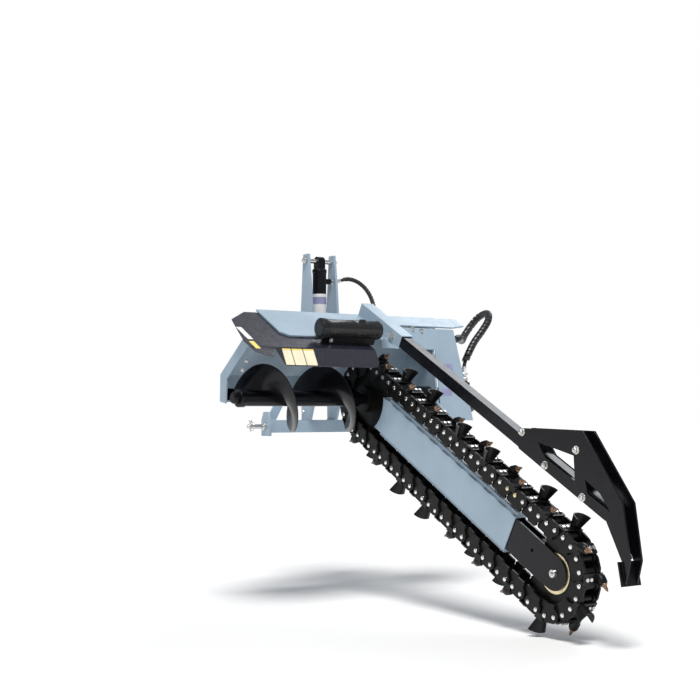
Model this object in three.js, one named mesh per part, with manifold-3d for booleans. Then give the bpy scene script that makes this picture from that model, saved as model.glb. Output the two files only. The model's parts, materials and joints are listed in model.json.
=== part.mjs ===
// Hydraulic trencher for a tractor's three-point hitch: a hitch frame with a mast and a lift cylinder, and a
// tilting head that carries the boom, the digging chain, the spoil auger and the crumber bar.
// Millimetres. +Z is up, +Y is towards the tractor, and X = 0 is the boom's centre plane.
// The origin is midway between the two lower hitch pins.
import * as THREE from "three";
import { mergeVertices } from "three/addons/utils/BufferGeometryUtils.js";
import Module from "manifold-3d";

const wasm = await Module();
wasm.setup();

// ---------- driving dimensions ----------
const GAP = 0.3;
const HEAD_SHAFT_Y = -430;
const HEAD_SHAFT_Z = 130;
const BOOM_SLOPE = THREE.MathUtils.degToRad(28.2);

const PITCH = 50.8;
const WHEEL_TEETH = 20;
const RUN_PITCHES = 28;
const RUN_CUTTERS = RUN_PITCHES / 2;
const WRAP_CUTTERS = WHEEL_TEETH / 4;
const PITCH_RADIUS = PITCH / (2 * Math.sin(Math.PI / WHEEL_TEETH));
const TAIL = RUN_PITCHES * PITCH;
const LINK_OUTSIDE = 23;
const LINK_INSIDE = 50;
const CHAIN_HALF_WIDTH = 50;
const LINK_INNER = 24;
const WHEEL_TIP = 146.5;

const BOOM_HALF_WIDTH = 30;
const BOOM_HALF_HEIGHT = 76;
const BOOM_WALL = 5;
const BOOM_END = 1145;
const NOSE_HALF_HEIGHT = 70;

const DECK_TOP = 320;
const DECK_THICKNESS = 8;
const DECK_FRONT = 243;
const FRONT_PLATE_BACK = 246;
const FRONT_PLATE_THICKNESS = 8;
const DECK_LEFT = -572;
const DECK_RIGHT = 556;

const AUGER_RADIUS = 152;
const AUGER_TUBE_RADIUS = 35;
const AUGER_PITCH = 305;
const AUGER_START = -655;
const AUGER_END = -92;
const AUGER_TOP_CROSSING = -269;
const SHAFT_RADIUS = 25;
const SHAFT_LEFT = -728;

const CRUMBER_TUBE = 50.8;
const CRUMBER_N = 352;
const CRUMBER_WALL = 5;
const FOOT_HALF_WIDTH = 48;
const RECEIVER_OUTER = 63.4;
const RECEIVER_INNER = 52;
const RECEIVER_BOLT_U = -60;

const PIVOT_Y = 320;
const PIVOT_Z = 40;
const PIVOT_RADIUS = 19;
const LEVER_ARM = 115;
const LEVER_PIN_RADIUS = 12;
const LEVER_SLOT_HALF = 14;
const MAST_INNER = 69;
const MAST_THICKNESS = 12;
const CYLINDER_RADIUS = 35;
const CYLINDER_BOTTOM = 255;
const CYLINDER_TOP = 640;
const CYLINDER_PIN_Z = 682;
const TOP_LINK_HEIGHT = 460;
const MOTOR_HOSE_RADIUS = 9;
const LIFT_HOSE_RADIUS = 8;

// ---------- materials ----------
function paint(color, roughness, metalness) {
  return new THREE.MeshStandardMaterial({ color, roughness, metalness });
}
const FRAME_PAINT = paint(0xa9c3d4, 0.45, 0.1);
const BLACK_PAINT = paint(0x1b1c20, 0.45, 0.2);
const CHAIN_STEEL = paint(0x2a2624, 0.6, 0.7);
const BRIGHT_STEEL = paint(0xb8b8b6, 0.3, 0.9);
const RUBBER = paint(0x141416, 0.75, 0.0);
const BRONZE = paint(0xa98252, 0.4, 0.8);
const AMBER = paint(0xd8851e, 0.35, 0.0);

// ---------- groups ----------
const trencher = new THREE.Group();
const hitch = new THREE.Group();
hitch.position.set(0, HEAD_SHAFT_Y, HEAD_SHAFT_Z);
const head = new THREE.Group();
head.position.set(0, HEAD_SHAFT_Y, HEAD_SHAFT_Z);
head.rotation.x = BOOM_SLOPE;
trencher.add(hitch, head);

// ---------- shape helpers ----------
const X_AXIS = new THREE.Vector3(1, 0, 0);
const Y_AXIS = new THREE.Vector3(0, 1, 0);
const Z_AXIS = new THREE.Vector3(0, 0, 1);
const SIDE_VIEW = new THREE.Matrix4().makeBasis(Y_AXIS, Z_AXIS, X_AXIS);

function turningPoints(points, clockwise) {
  const vectors = points.map(([a, b]) => new THREE.Vector2(a, b));
  return THREE.ShapeUtils.isClockWise(vectors) === clockwise ? vectors : vectors.reverse();
}

// Outlines run anticlockwise and holes clockwise.
function shapeFrom(points, holes = []) {
  const shape = new THREE.Shape(turningPoints(points, false));
  for (const hole of holes) {
    shape.holes.push(hole);
  }
  return shape;
}

function circlePath(a, b, radius) {
  const path = new THREE.Path();
  path.absarc(a, b, radius, 0, 2 * Math.PI, true);
  return path;
}

function polygonPath(points) {
  return new THREE.Path(turningPoints(points, true));
}

function extrude(shape, depth, segments = 12) {
  return new THREE.ExtrudeGeometry(shape, { depth, bevelEnabled: false, curveSegments: segments });
}

// Outline in (Y, Z), running from x0 to x1.
function sidePlate(shape, x0, x1, segments) {
  return extrude(shape, x1 - x0, segments).applyMatrix4(SIDE_VIEW).translate(x0, 0, 0);
}

// Outline in (X, Y), running from z0 to z1.
function flatPlate(shape, z0, z1, segments) {
  return extrude(shape, z1 - z0, segments).translate(0, 0, z0);
}

// Outline in (X, Z), running from y0 to y1.
function crossPlate(shape, y0, y1, segments) {
  return extrude(shape, y1 - y0, segments).rotateX(Math.PI / 2).translate(0, y1, 0);
}

function box(x0, x1, y0, y1, z0, z1) {
  const geometry = new THREE.BoxGeometry(x1 - x0, y1 - y0, z1 - z0);
  return geometry.translate((x0 + x1) / 2, (y0 + y1) / 2, (z0 + z1) / 2);
}

// A cylinder along X.
function rodX(radius, x0, x1, y = 0, z = 0, sides = 24) {
  const geometry = new THREE.CylinderGeometry(radius, radius, x1 - x0, sides);
  return geometry.rotateZ(-Math.PI / 2).translate((x0 + x1) / 2, y, z);
}

// A cylinder along Z.
function rodZ(radius, z0, z1, x = 0, y = 0, sides = 24) {
  const geometry = new THREE.CylinderGeometry(radius, radius, z1 - z0, sides);
  return geometry.rotateX(Math.PI / 2).translate(x, y, (z0 + z1) / 2);
}

// A cylinder along Y.
function rodY(radius, y0, y1, x = 0, z = 0, sides = 16) {
  const geometry = new THREE.CylinderGeometry(radius, radius, y1 - y0, sides);
  return geometry.translate(x, (y0 + y1) / 2, z);
}

// A solid of revolution about X. The [x, radius] profile ends where it starts or on the axis.
function turnedX(profile, sides = 24) {
  const points = turningPoints(profile, true).map((point) => new THREE.Vector2(point.y, point.x));
  return new THREE.LatheGeometry(points, sides).rotateZ(-Math.PI / 2);
}

function toSolid(geometry) {
  const bare = geometry.clone();
  bare.deleteAttribute("normal");
  bare.deleteAttribute("uv");
  const merged = mergeVertices(bare, 1e-3);
  const vertProperties = new Float32Array(merged.attributes.position.array);
  const triVerts = new Uint32Array(merged.index.array);
  return new wasm.Manifold(new wasm.Mesh({ numProp: 3, vertProperties, triVerts }));
}

function fromSolid(solid) {
  const mesh = solid.getMesh();
  const geometry = new THREE.BufferGeometry();
  geometry.setAttribute("position", new THREE.BufferAttribute(mesh.vertProperties, 3));
  geometry.setIndex(new THREE.BufferAttribute(mesh.triVerts, 1));
  geometry.computeVertexNormals();
  return geometry;
}

function join(...geometries) {
  return fromSolid(geometries.map(toSolid).reduce((all, next) => all.add(next)));
}

function cut(geometry, ...tools) {
  return fromSolid(tools.map(toSolid).reduce((left, tool) => left.subtract(tool), toSolid(geometry)));
}

function add(group, name, geometry, material) {
  const mesh = new THREE.Mesh(geometry, material);
  mesh.name = name;
  group.add(mesh);
  return mesh;
}

function mirrorPairs(callback) {
  callback("left", -1);
  callback("right", 1);
}

function orderedPair(side, inner, outer) {
  return side < 0 ? [-outer, -inner] : [inner, outer];
}

// ---------- hitch frame ----------
function buildMast() {
  const beamTop = -99.5;
  const outline = [
    [392, beamTop], [470, beamTop], [474, 90], [482, 200], [482, 400], [458, 715], [412, 715],
    [392, 560], [372, 330], [352, 90], [326, 77], [296, 68], [283, 40], [296, 12], [326, 3], [366, -30],
  ];
  const holes = [
    circlePath(PIVOT_Y, PIVOT_Z, PIVOT_RADIUS + GAP),
    circlePath(PIVOT_Y + LEVER_ARM, CYLINDER_PIN_Z, 12.3),
  ];
  const hosePorts = [circlePath(PIVOT_Y + LEVER_ARM, 585, 15), circlePath(PIVOT_Y + LEVER_ARM, 285, 15)];
  mirrorPairs((name, side) => {
    const [x0, x1] = orderedPair(side, MAST_INNER, MAST_INNER + MAST_THICKNESS);
    const openings = side > 0 ? holes.concat(hosePorts) : holes;
    add(hitch, `mast_plate_${name}`, sidePlate(shapeFrom(outline, openings), x0, x1, 10), FRAME_PAINT);
  });
  const ties = [box(-MAST_INNER + GAP, MAST_INNER - GAP, 474, 482, 236, 420)];
  for (const side of [-1, 1]) {
    const [x0, x1] = orderedPair(side, 24, 36);
    const ear = [[481, 270], [540, 305], [552, 330], [540, 355], [481, 390]];
    ties.push(sidePlate(shapeFrom(ear, [circlePath(525, -130 + TOP_LINK_HEIGHT, 9.9)]), x0, x1, 10));
  }
  add(hitch, "top_link_clevis", join(...ties), FRAME_PAINT);
}

function buildLowerBeam() {
  const tube = cut(box(-298, 298, 400, 460, -160, -100), box(-300, 300, 406, 454, -154, -106));
  const welded = [tube];
  mirrorPairs((name, side) => {
    const [x0, x1] = orderedPair(side, 297, 310);
    const outline = [[392, -176], [468, -176], [468, -100], [448, -60], [412, -60], [392, -100]];
    welded.push(sidePlate(shapeFrom(outline, [circlePath(430, -130, 11.3)]), x0, x1, 10));
    const nut = [[side * 292, 0], [side * 292, 11], [side * 310.3, 11], [side * 310.3, 19]];
    const stud = [[side * 326, 19], [side * 326, 11], [side * 402, 11], [side * 408, 8], [side * 408, 0]];
    const profile = nut.concat(stud);
    const pin = turnedX(profile, 20).translate(0, 430, -130);
    add(hitch, `lower_hitch_pin_${name}`, pin, BRIGHT_STEEL);
    const brace = [[side * 296, -101], [side * 246, -101], [side * 81.4, 190], [side * 81.4, 276]];
    welded.push(crossPlate(shapeFrom(brace), 438, 450));
  });
  add(hitch, "hitch_beam", join(...welded), FRAME_PAINT);
}

function buildPivotPin() {
  const profile = [[-112, 0], [-112, 28], [-104, 28], [-104, PIVOT_RADIUS], [104, PIVOT_RADIUS]];
  profile.push([104, 28], [112, 28], [112, 0]);
  add(hitch, "pivot_pin", turnedX(profile, 24).translate(0, PIVOT_Y, PIVOT_Z), BRIGHT_STEEL);
}

function buildLiftCylinder() {
  const y = PIVOT_Y + LEVER_ARM;
  const eye = join(
    rodZ(CYLINDER_RADIUS, CYLINDER_BOTTOM, CYLINDER_TOP, 0, y),
    box(-19, 19, y - 24, y + 24, CYLINDER_TOP - 5, CYLINDER_PIN_Z),
    rodX(24, -19, 19, y, CYLINDER_PIN_Z),
    box(20, 60, y - 12, y + 12, 573, 597),
    box(20, 60, y - 12, y + 12, 273, 297),
  );
  const barrel = cut(
    eye,
    rodX(12.3, -30, 30, y, CYLINDER_PIN_Z),
    rodZ(16.5, CYLINDER_BOTTOM - 1, CYLINDER_BOTTOM + 25, 0, y),
    rodZ(29, CYLINDER_BOTTOM + 20, CYLINDER_TOP - 25, 0, y),
  );
  add(hitch, "lift_cylinder_barrel", barrel, BLACK_PAINT);
  const pin = [[-90, 0], [-90, 17], [-82, 17], [-82, 12], [82, 12], [82, 17], [90, 17], [90, 0]];
  add(hitch, "lift_cylinder_pin", turnedX(pin, 20).translate(0, y, CYLINDER_PIN_Z), BRIGHT_STEEL);
  const rod = join(
    rodZ(16, 56, CYLINDER_BOTTOM + 100, 0, y),
    rodZ(28.5, CYLINDER_BOTTOM + 95, CYLINDER_BOTTOM + 130, 0, y),
    rodX(25, -16, 16, y, PIVOT_Z),
  );
  add(hitch, "lift_rod", cut(rod, rodX(LEVER_PIN_RADIUS + GAP, -20, 20, y, PIVOT_Z)), BRIGHT_STEEL);
  const peg = [[-38, 0], [-38, 18], [-32, 18], [-32, LEVER_PIN_RADIUS], [32, LEVER_PIN_RADIUS]];
  peg.push([32, 18], [38, 18], [38, 0]);
  add(hitch, "lift_rod_pin", turnedX(peg, 20).translate(0, y, PIVOT_Z), BRIGHT_STEEL);
}

// ---------- hoses ----------
function hoseTube(points, radius) {
  const curve = new THREE.CatmullRomCurve3(points.map(([x, y, z]) => new THREE.Vector3(x, y, z)));
  const section = new THREE.Shape();
  section.absarc(0, 0, radius, 0, 2 * Math.PI, false);
  const steps = Math.min(40, Math.round(curve.getLength() / (radius * 4.5)));
  const settings = { extrudePath: curve, steps, bevelEnabled: false, curveSegments: 5 };
  return new THREE.ExtrudeGeometry(section, settings);
}

const PRESSURE_HOSE = [
  [552, -10, 134], [555, -15, 178], [571, -21, 219], [622, -8, 283], [671, -8, 338], [726, 11, 393],
  [762, 52, 429], [778, 102, 434], [775, 150, 416], [755, 178, 379], [714, 179, 330], [663, 139, 298],
  [612, 92, 299], [561, 35, 302], [516, -3, 295], [468, -17, 284], [429, -9, 276], [398, 13, 278],
  [378, 44, 288], [370, 77.5, 308],
];
const RETURN_HOSE = [
  [490, -10, 134], [490, -9, 165], [487, 0, 205], [471, 11, 240], [448, 28, 268], [434, 52, 291],
  [430, 77.5, 308],
];
const LIFT_TOP_HOSE = [
  [99.5, 435, 585], [128, 434, 596], [168, 428, 604], [208, 416, 594], [242, 398, 566], [264, 378, 524],
  [273, 360, 474], [275, 350, 424], [274, 350, 380], [272, 366, 344], [270, 400, 323], [270, 438, 320],
];
const LIFT_BOTTOM_HOSE = [
  [99.5, 435, 285], [128, 435, 288], [163, 422, 292], [194, 397, 282], [209, 370, 259], [213, 356, 231],
  [213, 355, 201], [211, 370, 170], [205, 401, 147], [200, 438, 140],
];

function buildHoses() {
  add(hitch, "pressure_hose", hoseTube(PRESSURE_HOSE, MOTOR_HOSE_RADIUS), RUBBER);
  add(hitch, "return_hose", hoseTube(RETURN_HOSE, MOTOR_HOSE_RADIUS), RUBBER);
  add(hitch, "lift_hose_top", hoseTube(LIFT_TOP_HOSE, LIFT_HOSE_RADIUS), RUBBER);
  add(hitch, "lift_hose_bottom", hoseTube(LIFT_BOTTOM_HOSE, LIFT_HOSE_RADIUS), RUBBER);
}

function liftFitting(z) {
  return turnedX([[60.3, 0], [60.3, 7], [90, 7], [90, 12], [96.6, 12], [96.6, 0]], 12).translate(0, 435, z);
}

function coupler(y0) {
  const profile = [[0, 0], [0, 12], [6, 12], [6, 15], [52, 15], [58, 11], [66, 11], [66, 0]];
  return turnedX(profile, 16).rotateZ(Math.PI / 2).translate(0, y0, 0);
}

function buildCouplers() {
  const outline = [[81.4, 120], [226, 120], [300, 288], [300, 350], [81.4, 350]];
  const holes = [circlePath(270, 320, 15 + GAP), circlePath(200, 140, 15 + GAP)];
  add(hitch, "coupler_plate", crossPlate(shapeFrom(outline, holes), 452, 460, 10), FRAME_PAINT);
  add(hitch, "lift_coupler_top", coupler(441.4).translate(270, 0, 320), BRIGHT_STEEL);
  add(hitch, "lift_coupler_bottom", coupler(441.4).translate(200, 0, 140), BRIGHT_STEEL);
  add(hitch, "lift_fitting_top", liftFitting(585), BRIGHT_STEEL);
  add(hitch, "lift_fitting_bottom", liftFitting(285), BRIGHT_STEEL);
}

// ---------- head structure: Y runs forward along the boom, Z stands square to it ----------
function buildDeck() {
  const outline = [
    [DECK_LEFT, DECK_FRONT], [DECK_LEFT, 12], [DECK_LEFT + 34, -22], [-40, -22], [-40, 140],
    [470, 140], [DECK_RIGHT, 165], [DECK_RIGHT, DECK_FRONT],
  ];
  add(head, "deck", flatPlate(shapeFrom(outline), DECK_TOP - DECK_THICKNESS, DECK_TOP), FRAME_PAINT);
}

// The sloping rear panel: a narrow strip under the deck that widens into the motor guard.
function buildRearPanel() {
  const guard = [[33, 0], [33, -112], [346, -112], [346, -452], [536, -452], [466, 0]];
  const panel = extrude(shapeFrom(guard), 6);
  const tilt = Math.atan2(271, 363);
  panel.rotateX(Math.PI / 2 - tilt).translate(0, 139, 318);
  add(head, "motor_guard", cut(panel, box(0, 600, 100, 170, 311.5, 340)), FRAME_PAINT);
}

function buildMotorPlate() {
  const outline = [
    [245.7, -120], [245.7, 311.5], [137, 311.5], [-24, 94], [-78, 22], [-215, 0], [-232, -14], [-232, -62],
    [-215, -78], [-120, -86], [-60, -120],
  ];
  const shape = shapeFrom(outline, [circlePath(0, 0, 62)]);
  add(head, "motor_plate", sidePlate(shape, 335, 345, 16), FRAME_PAINT);
  const arm = cut(box(30.4, 334.7, -225, -150, -72, -6), box(20, 340, -219, -156, -66, -12));
  add(head, "boom_arm", arm, BLACK_PAINT);
  const housing = [[262, 61.6], [262, 50], [256, 50], [256, SHAFT_RADIUS + GAP], [334, SHAFT_RADIUS + GAP]];
  housing.push([345, SHAFT_RADIUS + GAP], [345, 61.6], [262, 61.6]);
  add(head, "bearing_housing", turnedX(housing, 24), BLACK_PAINT);
}

function buildAugerWall() {
  const inner = [[76, 301], [223, 1], [169, -108]];
  const outline = inner.concat([[176, -109], [230, 1], [83, 302]]);
  const wall = sidePlate(shapeFrom(outline), -672, -96);
  const flange = [[83, 302], [34, 286], [165, 10], [120, -90], [172, -108], [227, 1]];
  const rib = [[238, 311.5], [98, 311.5], [82, 300], [228, 3], [238, 12]];
  const ribs = [-530, -350, -170].map((x) => sidePlate(shapeFrom(rib), x, x + 8));
  add(head, "auger_wall", join(wall, sidePlate(shapeFrom(flange), -678, -671), ...ribs), FRAME_PAINT);
  add(head, "side_reflector", box(-668, -632, 62, 68, 270, 288), AMBER);
}

function buildHood() {
  const z = 306;
  const outline = [
    [-741, 144], [-767, 25], [-787, -75], [-782, -172], [-722, -222], [-640, -122], [-150, -122], [-150, 6],
    [-540, 6], [-556, 30], [-556, 228], [-640, 228],
  ];
  const sheet = flatPlate(shapeFrom(outline), z, z + 5);
  const lip = [[-646, 0], [-614, -94], [-205, -94], [-170, -80], [-150, -50], [-150, 0]];
  const bend = THREE.MathUtils.degToRad(33);
  const folded = flatPlate(shapeFrom(lip), 0, 5).rotateX(bend).translate(0, -120, z);
  add(head, "auger_hood", join(sheet, folded), BLACK_PAINT);
}

function buildReceiver() {
  const half = RECEIVER_OUTER / 2;
  const bore = RECEIVER_INNER / 2;
  const low = DECK_TOP + GAP;
  const sleeve = box(-half, half, -127, 231, low, low + RECEIVER_OUTER);
  const hollow = box(-bore, bore, -130, 240, CRUMBER_N - bore, CRUMBER_N + bore);
  const boltHole = rodX(8.3, -60, 0, RECEIVER_BOLT_U, CRUMBER_N, 16);
  add(head, "crumber_receiver", cut(sleeve, hollow, boltHole), FRAME_PAINT);
  const face = -half - GAP;
  const bolt = [[-58, 0], [-58, 13], [-47, 13], [-47, 15], [face, 15], [face, 8], [-bore, 8], [-bore, 0]];
  add(head, "crumber_set_bolt", turnedX(bolt, 16).translate(0, RECEIVER_BOLT_U, CRUMBER_N), BRIGHT_STEEL);
}

// ---------- boom ----------
function buildBoom() {
  const outer = box(-BOOM_HALF_WIDTH, BOOM_HALF_WIDTH, -BOOM_END, -100, -BOOM_HALF_HEIGHT, BOOM_HALF_HEIGHT);
  const x = BOOM_HALF_WIDTH - BOOM_WALL;
  const z = BOOM_HALF_HEIGHT - BOOM_WALL;
  const inside = box(-x, x, -BOOM_END - 10, 0, -z, z);
  const hole = rodX(150, -60, 60, 0, 0, 48);
  const rails = [
    box(-20, 20, -BOOM_END + 5, -170, BOOM_HALF_HEIGHT - 1, BOOM_HALF_HEIGHT + 16),
    box(-20, 20, -BOOM_END + 5, -170, -BOOM_HALF_HEIGHT - 16, -BOOM_HALF_HEIGHT + 1),
  ];
  add(head, "boom", join(cut(outer, inside, hole), ...rails), FRAME_PAINT);
}

function nosePlateShape() {
  const shape = new THREE.Shape();
  shape.moveTo(-930, -NOSE_HALF_HEIGHT);
  shape.lineTo(-930, NOSE_HALF_HEIGHT);
  shape.lineTo(-1360, NOSE_HALF_HEIGHT);
  shape.lineTo(-TAIL, 66);
  shape.absarc(-TAIL, 0, 66, Math.PI / 2, 1.5 * Math.PI, false);
  shape.lineTo(-1360, -NOSE_HALF_HEIGHT);
  shape.holes.push(circlePath(-TAIL, 0, 19.3), circlePath(-1281, 12, 7));
  return shape;
}

function buildNose() {
  mirrorPairs((name, side) => {
    const [x0, x1] = orderedPair(side, 16.7, 24.7);
    add(head, `nose_plate_${name}`, sidePlate(nosePlateShape(), x0, x1, 16), BLACK_PAINT);
  });
  const axle = [[-34, 0], [-34, 15], [-25.2, 19], [25.2, 19], [34, 15], [34, 0]];
  add(head, "tail_axle", turnedX(axle, 24).translate(0, -TAIL, 0), BRIGHT_STEEL);
  const screw = join(rodY(14, -1150, -560, 0, 0, 12), box(-16.3, 16.3, -1165, -1130, -30, 30));
  add(head, "take_up_cylinder", screw, CHAIN_STEEL);
}

// ---------- sprockets, shaft and auger ----------
function wheelGeometry() {
  const shape = new THREE.Shape();
  for (let tooth = 0; tooth < WHEEL_TEETH; tooth += 1) {
    const step = (2 * Math.PI) / WHEEL_TEETH;
    const centre = (tooth + 0.5) * step;
    const corners = [[-0.36, 128], [-0.15, WHEEL_TIP], [0.15, WHEEL_TIP], [0.36, 128]];
    for (const [offset, radius] of corners) {
      const angle = centre + offset * step;
      const move = tooth === 0 && offset === -0.36 ? "moveTo" : "lineTo";
      shape[move](radius * Math.cos(angle), radius * Math.sin(angle));
    }
  }
  return sidePlate(shape, -13, 13);
}

function buildHeadRotor() {
  const shaft = [[SHAFT_LEFT, 0], [SHAFT_LEFT, 20], [SHAFT_LEFT + 6, SHAFT_RADIUS], [345, SHAFT_RADIUS]];
  shaft.push([345, 18], [400, 18], [400, 0]);
  add(head, "head_shaft", turnedX(shaft, 24), BRIGHT_STEEL);
  const bore = rodX(SHAFT_RADIUS + GAP, -80, 80);
  const hub = rodX(62, -44, 44);
  add(head, "head_sprocket", cut(join(wheelGeometry(), hub), bore), CHAIN_STEEL);
  const collar = [[120, 44], [120, SHAFT_RADIUS + GAP], [150, SHAFT_RADIUS + GAP], [150, 44], [120, 44]];
  add(head, "shaft_collar", turnedX(collar, 24), BRIGHT_STEEL);
}

function augerFlight() {
  const stepsPerTurn = 26;
  const turns = (AUGER_END - AUGER_START) / AUGER_PITCH;
  const steps = Math.round(turns * stepsPerTurn);
  const positions = [];
  const indices = [];
  for (let i = 0; i <= steps; i += 1) {
    const x = AUGER_START + ((AUGER_END - AUGER_START) * i) / steps;
    const angle = Math.PI / 2 - BOOM_SLOPE + (2 * Math.PI * (x - AUGER_TOP_CROSSING)) / AUGER_PITCH;
    for (const [dx, radius] of [[-4, 30], [-4, AUGER_RADIUS], [4, AUGER_RADIUS], [4, 30]]) {
      positions.push(x + dx, radius * Math.cos(angle), radius * Math.sin(angle));
    }
  }
  for (let i = 0; i < steps; i += 1) {
    for (let k = 0; k < 4; k += 1) {
      const a = 4 * i + k;
      const b = 4 * i + ((k + 1) % 4);
      indices.push(a, b, b + 4, a, b + 4, a + 4);
    }
  }
  const last = 4 * steps;
  indices.push(0, 2, 1, 0, 3, 2, last, last + 1, last + 2, last, last + 2, last + 3);
  const geometry = new THREE.BufferGeometry();
  geometry.setAttribute("position", new THREE.Float32BufferAttribute(positions, 3));
  geometry.setIndex(indices);
  return geometry;
}

function solidFlight() {
  const flight = augerFlight();
  if (toSolid(flight).volume() < 0) {
    flight.index.array.reverse();
  }
  return flight;
}

function buildAuger() {
  const tube = rodX(AUGER_TUBE_RADIUS, AUGER_START - 45, AUGER_END + 22);
  const bore = rodX(SHAFT_RADIUS + GAP, AUGER_START - 60, AUGER_END + 40);
  add(head, "auger", cut(join(tube, solidFlight()), bore), BLACK_PAINT);
}

function buildTailWheel() {
  const hub = rodX(76, -16, 16, 0, 0, 28);
  const wheel = cut(join(wheelGeometry(), hub), rodX(30 + GAP, -30, 30));
  const bush = [[-16.2, 30], [-16.2, 19.4], [16.2, 19.4], [16.2, 30], [-16.2, 30]];
  add(head, "tail_wheel", wheel.translate(0, -TAIL, 0), CHAIN_STEEL);
  add(head, "tail_bush", turnedX(bush, 24).translate(0, -TAIL, 0), BRONZE);
}

// ---------- chain ----------
// One cutter on the outside of the chain, built for the upper run at Y = 0. It faces -Y, its way of travel.
function cupTooth(side) {
  const blade = [[8, 0], [26, 0], [24, 34], [2, 60], [-10, 54], [12, 28]];
  const [x0, x1] = orderedPair(side, 4, 68);
  return sidePlate(shapeFrom(blade), x0, x1).translate(0, 0, PITCH_RADIUS + LINK_OUTSIDE - 2);
}

function bulletTooth(side) {
  const block = [[16, 0], [20, 20], [-6, 34], [-18, 12], [-10, 0]];
  const x = side * 30;
  const holder = sidePlate(shapeFrom(block), x - 14, x + 14);
  const bit = new THREE.CylinderGeometry(1.5, 9, 44, 10);
  bit.rotateX(THREE.MathUtils.degToRad(138)).translate(x, -16, 34);
  return join(holder, bit).translate(0, 0, PITCH_RADIUS + LINK_OUTSIDE - 2);
}

// Every second link carries a cutter. The sides alternate, and two cutters in five are cups.
function cutter(index) {
  const side = index % 2 === 0 ? -1 : 1;
  return index % 5 === 1 || index % 5 === 3 ? cupTooth(side) : bulletTooth(side);
}

function runBand() {
  const length = TAIL - 1.2;
  const z0 = PITCH_RADIUS - LINK_INSIDE;
  const z1 = PITCH_RADIUS + LINK_OUTSIDE;
  const parts = [box(-LINK_INNER - 1, LINK_INNER + 1, -length, -0.6, 150, 175)];
  for (const side of [-1, 1]) {
    const [x0, x1] = orderedPair(side, LINK_INNER, CHAIN_HALF_WIDTH);
    parts.push(box(x0, x1, -length, -0.6, z0, z1));
  }
  return parts;
}

function wrapBand() {
  const ring = (r0, r1, x0, x1) => {
    const shape = new THREE.Shape();
    shape.absarc(0, 0, r1, -Math.PI / 2, Math.PI / 2, false);
    shape.absarc(0, 0, r0, Math.PI / 2, -Math.PI / 2, true);
    return sidePlate(shape, x0, x1, 20);
  };
  const r0 = PITCH_RADIUS - LINK_INSIDE + 1;
  const r1 = PITCH_RADIUS + LINK_OUTSIDE;
  return [
    ring(150, 175, -LINK_INNER - 1, LINK_INNER + 1),
    ring(r0, r1, -CHAIN_HALF_WIDTH, -LINK_INNER),
    ring(r0, r1, LINK_INNER, CHAIN_HALF_WIDTH),
  ];
}

function buildChain() {
  const upper = runBand();
  const lower = runBand();
  const headWrap = wrapBand();
  const tailWrap = wrapBand();
  for (let i = 0; i < RUN_CUTTERS; i += 1) {
    const y = -(2 * i + 1.5) * PITCH;
    upper.push(cutter(i).translate(0, y, 0));
    lower.push(cutter(i + RUN_CUTTERS + WRAP_CUTTERS).translate(0, y, 0));
  }
  for (let i = 0; i < WRAP_CUTTERS; i += 1) {
    const angle = ((2 * i + 1.5) * 2 * Math.PI) / WHEEL_TEETH - Math.PI;
    tailWrap.push(cutter(i + RUN_CUTTERS).rotateX(angle));
    headWrap.push(cutter(i + 2 * RUN_CUTTERS + WRAP_CUTTERS).rotateX(angle));
  }
  add(head, "chain_upper_run", join(...upper), CHAIN_STEEL);
  add(head, "chain_lower_run", join(...lower).rotateX(Math.PI).translate(0, -TAIL, 0), CHAIN_STEEL);
  add(head, "chain_head_wrap", join(...headWrap), CHAIN_STEEL);
  add(head, "chain_tail_wrap", join(...tailWrap).rotateX(Math.PI).translate(0, -TAIL, 0), CHAIN_STEEL);
}

// ---------- motor ----------
function buildMotor() {
  const body = join(
    box(346, 368, -50, 50, -50, 50),
    rodX(58, 366, 460, 0, 0, 28),
    rodX(66, 458, 600, 0, 0, 28),
    box(466, 576, -32, 22, 40, 90).rotateX(-BOOM_SLOPE),
  );
  const cavity = rodX(18.4, 340, 402, 0, 0, 20);
  add(head, "hydraulic_motor", cut(body, cavity), BLACK_PAINT);
}

function buildMotorFittings() {
  for (const [name, x] of [["pressure", 552], ["return", 490]]) {
    const profile = [[90.2, 0], [90.2, 17], [108, 17], [108, 12]];
    profile.push([118, 12], [118, 18], [130.5, 18], [130.5, 0]);
    const fitting = turnedX(profile, 12).rotateY(-Math.PI / 2).translate(x, -10, 0);
    add(hitch, `${name}_fitting`, fitting, BRIGHT_STEEL);
    const end = x > 500 ? 370 : 430;
    const tail = [[0, 0], [0, 18], [22, 18], [22, 15], [46, 15], [46, 21]];
    tail.push([92, 21], [100, 15], [108, 15], [108, 0]);
    const joint = turnedX(tail, 16).rotateZ(Math.PI / 2).translate(end, 218, 235);
    add(head, `${name}_coupler`, joint, BRIGHT_STEEL);
  }
  const shape = shapeFrom([[352, 186], [456, 186], [456, 311.5], [352, 311.5]]);
  shape.holes.push(circlePath(370, 235, 15.4), circlePath(430, 235, 15.4));
  add(head, "coupler_bulkhead", crossPlate(shape, 246, 254, 10), FRAME_PAINT);
}

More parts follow.
